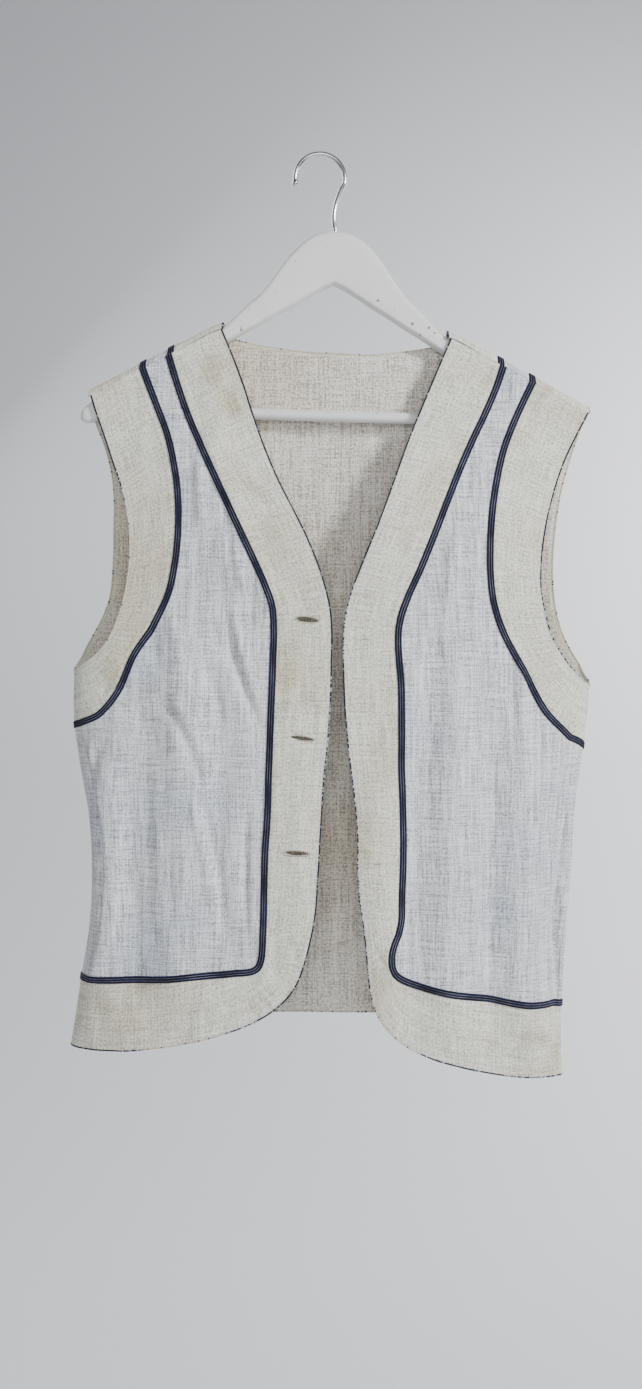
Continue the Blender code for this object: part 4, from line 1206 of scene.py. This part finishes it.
def linen(kind):
    """Plain-woven linen: over and under threads, slubs both ways, soft patches, stains and pale flecks."""
    pitch, light, dark, patch, stain, threads, down, across, broad, slubs, depth = LINENS[kind]
    graph = Graph("linen_" + kind)
    uv = graph.uv()
    place = graph.place()
    u, v, _ = graph.split(uv)
    warp = graph.math("SINE", graph.math("MULTIPLY", u, math.pi / pitch))
    weft = graph.math("SINE", graph.math("MULTIPLY", v, math.pi / pitch))
    weave = graph.math("MULTIPLY", warp, weft)
    fine_down = graph.streaks(uv, (0.95, 0.035, 1.0), 2.0, 0.2)
    fine_across = graph.streaks(uv, (0.035, 0.95, 1.0), 2.0, 0.2)
    bands_down = graph.streaks(uv, (0.24, 0.009, 1.0), 3.0)
    speck = graph.streaks(uv, (0.55, 0.5, 1.0))
    tone = graph.weigh(0.62, (fine_down, down), (fine_across, across), (bands_down, broad), (speck, threads))
    colour = graph.mix(tone, dark, light)
    patches = graph.between(graph.noise(place, 9.0, 3.0), 0.46, 0.68, 0.0, 0.8)
    colour = graph.mix(patches, colour, patch, "MULTIPLY")
    stains = graph.between(graph.noise(place, 17.0, 4.0, 0.6), 0.58, 0.74, 0.0, 0.55)
    colour = graph.mix(stains, colour, stain, "MULTIPLY")
    flecks = graph.streaks(uv, (0.16, 0.8, 1.0), 1.0)
    flecks = graph.between(flecks, 0.66, 0.72, 0.0, slubs)
    colour = graph.mix(flecks, colour, light)
    height = graph.weigh(0.5, (weave, 0.16), (fine_down, 1.0), (fine_across, 0.9), (speck, 0.7))
    return graph.finish(
        Base_Color=colour,
        Roughness=0.88,
        Normal=graph.bump(height, depth),
        Sheen_Weight=0.08,
        Sheen_Roughness=0.5,
    )


# The braid's dashes and cords and the edging's stitches, in millimetres along them
DASH_PITCH = 1.1
CORD_PITCH = 0.8
OVERCAST_PITCH = 1.25


def braid_finish():
    """Navy braid: three corded ribs with a fine pale line in each groove between them, and a painted
    highlight of lighter blue along both its edges.
    """
    graph = Graph("navy_braid")
    uv = graph.uv()
    across, along, _ = graph.split(uv)
    half_rib = BRAID_SHOWN / RIBS / 2
    from_groove = graph.math("ABSOLUTE", graph.math("SUBTRACT", graph.math("ABSOLUTE", across), half_rib))
    dash = graph.math("SINE", graph.math("MULTIPLY", along, 2 * math.pi / DASH_PITCH))
    wander = graph.streaks(uv, (0.0, 0.04, 0.0))
    width = graph.between(wander, 0.35, 0.65, 0.10, 0.24)
    line = graph.math("LESS_THAN", from_groove, width)
    line = graph.math("MULTIPLY", line, graph.between(dash, -0.6, 0.2, 0.7, 1.0))
    slant = graph.math("ADD", along, graph.math("MULTIPLY", across, 0.7))
    cords = graph.math("SINE", graph.math("MULTIPLY", slant, 2 * math.pi / CORD_PITCH))
    tone = graph.streaks(uv, (0.8, 0.03, 0.0), 3.0)
    navy = graph.mix(graph.between(tone, 0.42, 0.66), (0.003, 0.0035, 0.010), (0.008, 0.010, 0.048))
    # Painted highlight: the navy turns a lighter blue towards both edges of the braid, where light would
    # catch them
    rim = graph.between(graph.math("ABSOLUTE", across), 0.36 * BRAID_SHOWN, 0.48 * BRAID_SHOWN, 0.0, 0.75)
    navy = graph.mix(rim, navy, (0.012, 0.014, 0.070))
    colour = graph.mix(line, navy, (0.32, 0.33, 0.43))
    return graph.finish(
        Base_Color=colour,
        Roughness=0.7,
        Specular_IOR_Level=0.25,
        Normal=graph.bump(cords, 0.00005),
        Sheen_Weight=0.03,
    )


def edging_finish():
    """Overcast stitches in navy, grey and white. The first coordinate is the share that is dark."""
    graph = Graph("edge_cord")
    share, along, _ = graph.split(graph.uv())
    step = graph.math("FLOOR", graph.math("DIVIDE", along, OVERCAST_PITCH))
    dice = graph.add("ShaderNodeTexWhiteNoise", {"W": step}, noise_dimensions="1D").outputs["Value"]
    dark = graph.math("LESS_THAN", dice, share)
    other = graph.math("FRACT", graph.math("MULTIPLY", dice, 7.0))
    cool = graph.mix(other, (0.66, 0.65, 0.66), (0.22, 0.23, 0.33))
    warm = graph.mix(other, (0.70, 0.66, 0.56), (0.56, 0.50, 0.40))
    pale = graph.mix(graph.between(share, 0.12, 0.3), warm, cool)
    colour = graph.mix(dark, pale, (0.010, 0.011, 0.030))
    return graph.finish(Base_Color=colour, Roughness=0.85, Sheen_Weight=0.05)


def thread_finish():
    """Brownish cream sewing thread."""
    graph = Graph("sewing_thread")
    tone = graph.noise(graph.place(), 900.0, 2.0)
    return graph.finish(Base_Color=graph.mix(tone, (0.34, 0.28, 0.20), (0.70, 0.63, 0.50)), Roughness=0.9)


def paint_finish():
    """White paint over wood, with brush marks, grey rubs and a few small chips."""
    graph = Graph("white_paint")
    place = graph.place()
    brush = graph.streaks(place, (60.0, 420.0, 420.0), 3.0)
    rub = graph.between(graph.noise(place, 28.0, 4.0), 0.55, 0.75)
    rough_edge = graph.noise(place, 600.0, 2.0)
    chip = graph.between(graph.noise(place, 130.0, 3.0), 0.70, 0.73)
    for x, height, size in CHIPS:
        spot = tuple(float(n) * MM for n in leaned(np.array([x, 0.0, height])))
        flat = graph.times(place, (1.0, 0.0, 1.0))
        away = graph.add("ShaderNodeVectorMath", {0: flat, 1: spot}, operation="DISTANCE")
        away = graph.math("DIVIDE", away.outputs["Value"], size * MM)
        away = graph.math("SUBTRACT", away, graph.math("MULTIPLY", rough_edge, 0.9))
        chip = graph.math("MAXIMUM", chip, graph.between(away, 0.25, 0.05))
    colour = graph.mix(brush, (0.80, 0.80, 0.79), (0.86, 0.86, 0.85))
    colour = graph.mix(graph.math("MULTIPLY", rub, 0.35), colour, (0.62, 0.62, 0.62))
    colour = graph.mix(graph.math("MULTIPLY", chip, 0.8), colour, (0.16, 0.14, 0.12))
    rough = graph.between(brush, 0.3, 0.7, 0.38, 0.52)
    height = graph.math("SUBTRACT", graph.math("MULTIPLY", brush, 0.5), chip)
    return graph.finish(Base_Color=colour, Roughness=rough, Normal=graph.bump(height, 0.00015))


def wire_finish():
    """Bright plated wire, slightly dulled in places."""
    graph = Graph("chrome_wire")
    dull = graph.noise(graph.place(), 90.0, 3.0)
    return graph.finish(
        Base_Color=(0.62, 0.62, 0.64),
        Metallic=1.0,
        Roughness=graph.between(dull, 0.3, 0.8, 0.14, 0.36),
    )


FINISHES = {
    "linen_panel": linen("panel"),
    "linen_band": linen("band"),
    "linen_lining": linen("lining"),
    "navy_braid": braid_finish(),
    "edge_cord": edging_finish(),
    "sewing_thread": thread_finish(),
    "white_paint": paint_finish(),
    "chrome_wire": wire_finish(),
}


def settle(piece, node=None):
    """The piece rides with the part, and stands for its CAD node where it has one."""
    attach(piece, "root")
    if node:
        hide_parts(node)
    return piece


def cloth(node, grids, uvs, slot_name, tops=None, top=0.0):
    """The shell that stands for a cloth node: its outer face lifted by top, or by tops, one a grid."""
    tops = tops or [top] * len(grids)
    foots = [top - SHELL] * len(grids)
    return settle(shell(node + "_cloth", grids, uvs, tops, foots, slot_name), node)


def band_piece(node, rim, seam, inward):
    """A band from its overcast edge to its seam, raised where the seam allowance under it ends."""
    sides = refined(np.stack([rim, slid(seam, -inward * SEAM_GAP / 2)], axis=1), ROWS_FINER)
    share = 1 - (1 - np.linspace(0, 1, BAND_COLUMNS)[None, :, None]) ** BAND_CROWDS
    grid = sides[:, :1] * (1 - share) + sides[:, 1:] * share
    uv = grid_uv(grid)
    from_seam = uv[:, -1:, 0] - uv[..., 0]
    ridge = np.exp(-(((from_seam / MM - ALLOWANCE_AT) / ALLOWANCE_HALF) ** 2))
    return cloth(node, [grid], [uv], "linen_band", [ALLOWANCE_RISE * ridge])


def braid_piece(node, seam):
    """A braid of three ribs over a seam."""
    half = BRAID_SHOWN / 2
    sides = np.stack([slid(seam, half), seam, slid(seam, -half)], axis=1)
    sides = refined(sides, 2 * ROWS_FINER)
    at = np.linspace(-1, 1, BRAID_COLUMNS)
    columns = [sides[:, 1] * (1 - abs(s)) + sides[:, 0 if s < 0 else 2] * abs(s) for s in at]
    grid = np.stack(columns, axis=1)
    uv = grid_uv(grid)
    uv[..., 0] = at[None] * half * MM
    rib = np.abs(np.sin(RIBS / 2 * math.pi * (at + 1)))
    edge_drop = np.where(np.abs(at) > 0.99, BRAID_EDGE_DROP, 0.0)
    top = GROOVE_RISE + RIB_RISE * np.sqrt(rib) - edge_drop
    piece = shell(node + "_ribs", [grid], [uv], [top], [BRAID_FOOT], "navy_braid")
    return settle(piece, node)


def tube(name, centres, sides, ups, half_width, half_height, count, twist, pitch, finish, mark=0.0):
    """A closed tube along centres, from its sideways and upward directions, with a twisted ridge.

    The mark, one number or one a ring, becomes the first of the weave's coordinates.
    """
    turns = np.linspace(0, 2 * math.pi, count, endpoint=False)
    along = lengths_along(centres)
    swell = 1 + twist * np.sin(2 * math.pi * along[:, None] / pitch + turns[None])
    across = half_width * np.cos(turns)[None] * swell
    upward = half_height * np.sin(turns)[None] * swell
    rings = centres[:, None] + across[..., None] * sides[:, None] + upward[..., None] * ups[:, None]
    marks = np.broadcast_to(mark, along.shape)
    uv = np.stack([np.repeat(marks, count), np.repeat(along, count)], axis=-1) * MM
    faces = ring_faces(len(rings), count)
    return mesh_object(name, rings.reshape(-1, 3), faces, uv, finish, 80)


def on_cloth(places, lift):
    """Points and outward directions on the creased cloth."""
    normal = outward(places)
    return points_at(places) + (relief(places) + lift)[:, None] * normal, normal


def edging_piece(node, edge, inward):
    """The overcast edge: a thin cord of slanting stitches along a free edge."""
    line = slid(edge, inward * EDGE_SHOWN)
    fine = refined(line[:, None], EDGE_FINER)[:, 0]
    length = lengths_along(points_at(fine))
    wanted = np.linspace(0, length[-1], int(length[-1] / EDGE_STEP))
    fine = np.stack([np.interp(wanted, length, fine[:, n]) for n in (0, 1)], axis=1)
    centres, normal = on_cloth(fine, -SHELL / 2)
    sides = sideways(centres, normal)
    shares, darks = np.array(EDGE_DARK[node]).T
    dark = np.interp(wanted / length[-1], shares, darks)
    share, change, size = EDGE_UNEVEN
    half = EDGE_SHOWN * (share + change * noise(wanted[:, None] * np.array([1.0, 0.0]), size, 5))
    sizes = (half[:, None], EDGE_HALF_HEIGHT, EDGE_SIDES, *EDGE_TWIST)
    piece = tube(node + "_stitches", centres, sides, normal, *sizes, "edge_cord", dark)
    return settle(piece, node)


def flat_spot(x, height, lean):
    """The place of a spot on the front, with directions along a lean, across it and outward."""
    turn, _ = place(1, x, height)
    middle = np.array([[turn, height]])
    point, normal = on_cloth(middle, 0.0)
    angle = math.radians(lean)
    along = np.array([math.cos(angle), 0.0, -math.sin(angle)])
    along = unit(along - normal[0] * np.dot(along, normal[0]))
    return point[0], along, np.cross(normal[0], along), normal[0]


def slit_line(number, angles, margin):
    """Points round a slit at a margin from it, and the outward direction there."""
    point, along, across, normal = flat_spot(*BUTTONHOLES[number])
    length = (SLIT_HALF + margin) * np.cos(angles)
    open_half = SLIT_OPEN[number] * np.abs(np.sin(angles)) ** SLIT_POINTED + margin
    width = open_half * np.sign(np.sin(angles))
    return point + length[:, None] * along + width[:, None] * across, normal


def cut_slits(band):
    """Cuts the buttonholes' lens-shaped slits through a band's shell."""
    for number in range(len(BUTTONHOLES)):
        angles = np.linspace(0, 2 * math.pi, SLIT_CORNERS, endpoint=False)
        outline, normal = slit_line(number, angles, 0.0)
        points = np.vstack([outline - SLIT_REACH * normal, outline + SLIT_REACH * normal])
        faces = ring_faces(2, SLIT_CORNERS)
        cutter = mesh_object(f"slit_{number}", points, faces, None, "linen_band")
        modifier = band.modifiers.new("slit", "BOOLEAN")
        modifier.object = cutter
        cut = bpy.data.meshes.new_from_object(band.evaluated_get(bpy.context.evaluated_depsgraph_get()))
        band.modifiers.remove(modifier)
        band.data = cut
        bpy.data.objects.remove(cutter, do_unlink=True)


def sideways(centres, ups):
    """The direction across a line at each of its points, from the upward directions there."""
    return unit(np.cross(ups, unit(np.gradient(centres, axis=0))))


def thread(name, centres, normal, sizes, rings):
    """A sewing thread on the cloth, along the first of the centres: as many of them as rings says."""
    ups = np.repeat(normal[None], len(centres), axis=0)
    sides = sideways(centres, ups)
    settle(tube(name, centres[:rings], sides[:rings], ups[:rings], *sizes, "sewing_thread"))


def stitch_slits():
    """Worked stitches round each buttonhole, and thread remains where the buttons sat."""
    angles = np.linspace(0, 2 * math.pi, STITCH_RINGS + 1)
    for number in range(len(BUTTONHOLES)):
        line, normal = slit_line(number, angles, STITCH_MARGIN)
        name = f"buttonhole_stitches_{number + 1}"
        thread(name, line + STITCH_LIFT * normal, normal, STITCH_THREAD, STITCH_RINGS)
    for number, (x, height, lean, length) in enumerate(THREAD_REMAINS, 1):
        point, along, across, normal = flat_spot(x, height, lean)
        shares = np.linspace(-0.5, 0.5, LOOSE_RINGS)[:, None]
        wave = LOOSE_WAVE * np.sin(9 * shares + number)
        arch = LOOSE_LIFT - LOOSE_DROP * shares**2
        centres = point + length * shares * along + wave * across + arch * normal
        thread(f"thread_remains_{number}", centres, normal, LOOSE_THREAD, LOOSE_RINGS)


def dress_front(name, hand, band_table, corner, level, armhole_table):
    edge, seam = band_lines(1, band_table, front_stations(band_table, corner, level))
    _, hole_seam = armhole_lines(1, armhole_table)
    grid = front_panel_grid(seam, CORNER_STATION, hole_seam, hand)
    grid = refined(grid, ROWS_FINER, HEM_FINER, (len(hole_seam) - 1,))
    cloth("front_panel_" + name, [grid], [upright_uv(grid)], "linen_panel")
    band_piece("front_band_" + name, slid(edge, hand * EDGE_SHOWN), seam, hand)
    braid_piece("braid_front_" + name, seam)
    braid_piece("braid_armhole_" + name, hole_seam)
    edging_piece("edging_front_" + name, edge, hand)


def dress_armhole(name, hand, front_table, back_table):
    """The armhole's bands and edge. Gives the place of the lining under its back band."""
    ring, seams = armhole_rings(hand, front_table, back_table)
    inward = -hand
    edging_piece("edging_armhole_" + name, ring, inward)
    rim = slid(ring, inward * EDGE_SHOWN)
    front, back = slice(0, ARMHOLE_STATIONS), slice(ARMHOLE_STATIONS, None)
    for face, part in (("front", front), ("back", back)):
        band_piece(face + "_armhole_band_" + name, rim[part], seams[part], inward)
    rim = slid(ring, inward * (EDGING_WIDTH + SEAM_GAP))[back]
    coarse = grid_from_rim(rim, seams[back], inward)
    coarse = lining_grid(slid(ring, inward * LINING_INSET)[back], coarse, seams[back])
    return coarse + np.array([360.0 if hand < 0 else 0.0, 0.0])


def dress_back(lining_grids):
    neck_edge, neck_seam = band_lines(-1, BACK_NECK, np.linspace(0, len(BACK_NECK) - 1, NECK_STATIONS))
    neck_edge = over_both_shoulders(neck_edge, BACK_NECK[0][0], BACK_NECK[-1][0])
    neck_seam = over_both_shoulders(neck_seam, BACK_NECK[0][2], BACK_NECK[-1][2])
    hem_edge, hem_seam = hem_lines()
    for node, edge, seam, inward in (
        ("back_neck", neck_edge, neck_seam, 1),
        ("back_hem", hem_edge, hem_seam, -1),
    ):
        band_piece(node + "_band", slid(edge, inward * EDGE_SHOWN), seam, inward)
        braid_piece("braid_" + node, seam)
        edging_piece("edging_" + node, edge, inward)
    _, left_seam = back_armhole_lines(LEFT_BACK_ARMHOLE)
    _, right_seam = back_armhole_lines(RIGHT_BACK_ARMHOLE)
    braid_piece("braid_back_armhole_right", left_seam)
    braid_piece("braid_back_armhole_left", right_seam)
    seams = (neck_seam, left_seam, right_seam, hem_seam)
    corner = len(left_seam) - 1
    halves = [refined(half, BACK_FINER, HEM_FINER, (corner,)) for half in back_halves(*seams, SEAM_GAP / 2)]
    cloth("back_panel", halves, [upright_uv(half) for half in halves], "linen_panel")

    grids = [refined(grid, BACK_FINER) for grid in lining_grids]
    grids += [refined(half, BACK_FINER, LINING_FINER, (corner,)) for half in back_halves(*seams, 0.0)]
    for edge, seam, inward, finer in (
        (neck_edge, neck_seam, 1, BACK_FINER),
        (hem_edge, hem_seam, -1, LINING_FINER),
    ):
        under_band = lining_grid(slid(edge, inward * LINING_INSET), band_grid(edge, seam, inward), seam)
        grids.append(refined(under_band, finer))
    top = -CLOTH - LINING_GAP
    cloth("back_lining", grids, [upright_uv(grid) for grid in grids], "linen_lining", None, top)


def rings_object(name, rings, finish, sharp=40):
    """A closed part of the hanger from rings in its upright frame."""
    rings = leaned(np.asarray(rings))
    return mesh_object(name, rings.reshape(-1, 3), ring_faces(*rings.shape[:2]), None, finish, sharp)


def wood_ring(x, top, foot, half):
    """A section of the arm: flat faces, round above and eased below."""
    round_top = min(half, (top - foot) * TOP_ROUND_SHARE)
    round_foot = min(FOOT_ROUND, (top - foot) * FOOT_ROUND_SHARE)
    points = []
    for angle in np.linspace(0, math.pi, TOP_STEPS + 1):
        points.append((x, half * math.cos(angle), top - round_top * (1 - math.sin(angle))))
    for share in ARM_SHARES:
        points.append((x, -half, (top - round_top) * (1 - share) + (foot + round_foot) * share))
    for angle in np.linspace(0, math.pi, FOOT_STEPS + 1):
        points.append((x, -half * math.cos(angle), foot + round_foot * (1 - math.sin(angle))))
    for share in reversed(ARM_SHARES):
        points.append((x, half, (top - round_top) * (1 - share) + (foot + round_foot) * share))
    return np.array(points)


def dress_hanger():
    last = len(HANGER) - 1
    table = between_rows(HANGER, np.linspace(0, last, ARM_STEPS * last + 1))
    right = [wood_ring(HANGER_MIDDLE + out, *row) for out, *row in table]
    left = [wood_ring(HANGER_MIDDLE - out, *row) for out, *row in table[:0:-1]]
    wood = rings_object("hanger_wood", left + right, "white_paint")
    settle(wood, "hanger_body")
    turns = np.linspace(0, 2 * math.pi, BAR_SIDES, endpoint=False)
    y = BAR_RADIUS * np.cos(turns)
    z = BAR_HEIGHT + BAR_RADIUS * np.sin(turns)
    xs = np.linspace(HANGER_MIDDLE - BAR_HALF_LENGTH, HANGER_MIDDLE + BAR_HALF_LENGTH, BAR_STEPS)
    bar = [np.stack([np.full(BAR_SIDES, x), y, z], axis=1) for x in xs]
    settle(rings_object("hanger_rod", bar, "white_paint"), "hanger_bar")
    wire = rings_object("hanger_wire", wire_rings(), "chrome_wire", 70)
    settle(wire, "hanger_hook")


def wire_rings():
    """Rings of the wire: the ball, the round of the hook, the bend to the stem and the stem."""
    centre = np.array([HOOK_MIDDLE, 0.0, WIRE_RADIUS - HOOK_RADIUS])
    start = math.radians(HOOK_STARTS)
    turns = []
    sizes = []
    for angle in np.linspace(*BALL_TURNS, BALL_STEPS):
        turns.append(start + BALL_RADIUS * math.cos(angle) / HOOK_RADIUS)
        sizes.append(max(BALL_RADIUS * math.sin(angle), WIRE_RADIUS if angle > BALL_NARROWS else 0.0))
    wire_start = start - BALL_TO_WIRE * BALL_RADIUS / HOOK_RADIUS
    turns.extend(np.linspace(wire_start, math.radians(HOOK_LEAVES), HOOK_STEPS))
    path = [centre + HOOK_RADIUS * np.array([math.cos(turn), 0, math.sin(turn)]) for turn in turns]
    handles = np.array([(x, 0, height) for x, height in BEND])
    last = path[-1]
    for share in np.linspace(0, 1, BEND_STEPS + 1)[1:]:
        rest = 1 - share
        point = rest**3 * last + 3 * rest**2 * share * handles[0]
        path.append(point + 3 * rest * share**2 * handles[1] + share**3 * handles[2])
    path.append(np.array([HANGER_MIDDLE, 0, HANGER[0][1] - STEM_DEPTH]))
    path = np.array(path)
    sizes += [WIRE_RADIUS] * (len(path) - len(sizes))
    along = unit(np.gradient(path, axis=0))
    across = np.array([0.0, 1.0, 0.0])
    turns = np.linspace(0, 2 * math.pi, WIRE_SIDES, endpoint=False)[:, None]
    rings = []
    for point, out, size in zip(path, np.cross(along, across), sizes):
        rings.append(point + size * (np.cos(turns) * out + np.sin(turns) * across))
    return rings


# What shows of each cloth piece: flat width and length in metres, area in square metres, and its trims
SHEETS = {
    "front_panel_right": (0.20, 0.57, 0.063, ["braid_front_right_ribs", "braid_armhole_right_ribs"]),
    "front_panel_left": (0.20, 0.58, 0.061, ["braid_front_left_ribs", "braid_armhole_left_ribs"]),
    "front_band_right": (0.20, 0.65, 0.040, ["edging_front_right_stitches", "buttonhole_stitches_1",
                                             "buttonhole_stitches_2", "buttonhole_stitches_3"]),
    "front_band_left": (0.19, 0.66, 0.038, ["edging_front_left_stitches", "thread_remains_1",
                                            "thread_remains_2", "thread_remains_3"]),
    "front_armhole_band_right": (0.11, 0.33, 0.0142, ["edging_armhole_right_stitches"]),
    "front_armhole_band_left": (0.11, 0.34, 0.0155, ["edging_armhole_left_stitches"]),
    "back_armhole_band_right": (0.10, 0.35, 0.0164, ["braid_back_armhole_right_ribs"]),
    "back_armhole_band_left": (0.10, 0.35, 0.0163, ["braid_back_armhole_left_ribs"]),
    "back_neck_band": (0.31, 0.12, 0.0157, ["braid_back_neck_ribs", "edging_back_neck_stitches"]),
    "back_hem_band": (0.47, 0.11, 0.0287, ["braid_back_hem_ribs", "edging_back_hem_stitches"]),
    "back_panel": (0.50, 0.61, 0.200, []),
    "back_lining": (0.51, 0.69, 0.268, []),
}


def declare_sheets():
    for node, (width, length, area, trims) in SHEETS.items():
        trims = [bpy.data.objects[name] for name in trims]


# The backdrop, in metres: height of its floor, places of its walls behind the vest and in front, height
# of their tops, half width, and steps of each round corner between floor and wall
FLOOR = -1.7
WALL = 2.8
FRONT_WALL = -4.5
WALL_TOP = 4.0
WALL_HALF = 8.0
CORNER_STEPS = 24

# Area lights: name, watts, size, place and what they point at, in metres
LIGHTS = [
    ("key", 66.0, 0.45, (1.75, -1.4, 0.65), (0.0, 0.0, -0.5)),
    ("front", 18.0, 1.2, (0.0, -2.2, -0.1), (0.0, 0.0, -0.5)),
    ("wall", 70.0, 1.4, (2.1, 1.5, 0.2), (0.8, WALL, -0.5)),
    ("back", 44.0, 1.4, (-1.6, 1.8, 1.0), (0.0, 0.0, -0.5)),
]
AIR_COLOUR = (0.80, 0.83, 0.88, 1.0)
AIR_STRENGTH = 0.16

# The camera looks straight along y: focal length in millimetres and place in metres
CAMERA_LENS = 31.68
CAMERA_PLACE = (-0.0009, -1.1, -0.4847)


def make_stage():
    """A pale floor that curves up into a wall far behind and one far in front."""
    angles = np.linspace(0, math.pi / 2, CORNER_STEPS)
    bend = [(math.sin(angle), 1 - math.cos(angle)) for angle in angles]
    rows = [(FRONT_WALL, WALL_TOP)]
    rows += [(FRONT_WALL + 1 - out, FLOOR + rise) for out, rise in reversed(bend)]
    rows += [(WALL - 1 + out, FLOOR + rise) for out, rise in bend]
    rows.append((WALL, WALL_TOP))
    mesh = bpy.data.meshes.new("backdrop")
    points = [(x, y, z) for y, z in rows for x in (-WALL_HALF, WALL_HALF)]
    faces = [(2 * n, 2 * n + 1, 2 * n + 3, 2 * n + 2) for n in range(len(rows) - 1)]
    mesh.from_pydata(points, [], faces)
    mesh.shade_smooth()
    graph = Graph("backdrop")
    mesh.materials.append(graph.finish(Base_Color=(0.74, 0.75, 0.78), Roughness=0.9))
    add_to_scene("backdrop", mesh)


def make_lights():
    """Soft light high on the right in front, one straight in front, one for the wall and one behind."""
    for name, power, size, place, aim in LIGHTS:
        data = bpy.data.lights.new(name, "AREA")
        data.energy = power
        data.size = size
        light = add_to_scene(name, data)
        light.location = place
        way = np.array(aim) - np.array(place)
        light.rotation_euler = (math.atan2(math.hypot(*way[:2]), -way[2]), 0, math.atan2(-way[0], way[1]))
    world = bpy.data.worlds.new("air")
    world.use_nodes = True
    background = world.node_tree.nodes["Background"]
    background.inputs["Color"].default_value = AIR_COLOUR
    background.inputs["Strength"].default_value = AIR_STRENGTH
    bpy.context.scene.world = world


def make_camera():
    data = bpy.data.cameras.new("camera")
    data.lens = CAMERA_LENS
    camera = add_to_scene("camera", data)
    camera.location = CAMERA_PLACE
    camera.rotation_euler = (math.radians(90), 0, 0)
    bpy.context.scene.camera = camera


make_camera()
make_lights()
make_stage()
dress_hanger()
dress_front("right", -1, LEFT_FRONT_BAND, LEFT_CORNER, LEFT_LEVEL, LEFT_FRONT_ARMHOLE)
dress_front("left", 1, RIGHT_FRONT_BAND, RIGHT_CORNER, RIGHT_LEVEL, RIGHT_FRONT_ARMHOLE)
right_lining = dress_armhole("right", -1, LEFT_FRONT_ARMHOLE, LEFT_BACK_ARMHOLE)
left_lining = dress_armhole("left", 1, RIGHT_FRONT_ARMHOLE, RIGHT_BACK_ARMHOLE)
dress_back([right_lining, left_lining])
cut_slits(bpy.data.objects["front_band_right_cloth"])
stitch_slits()
declare_sheets()
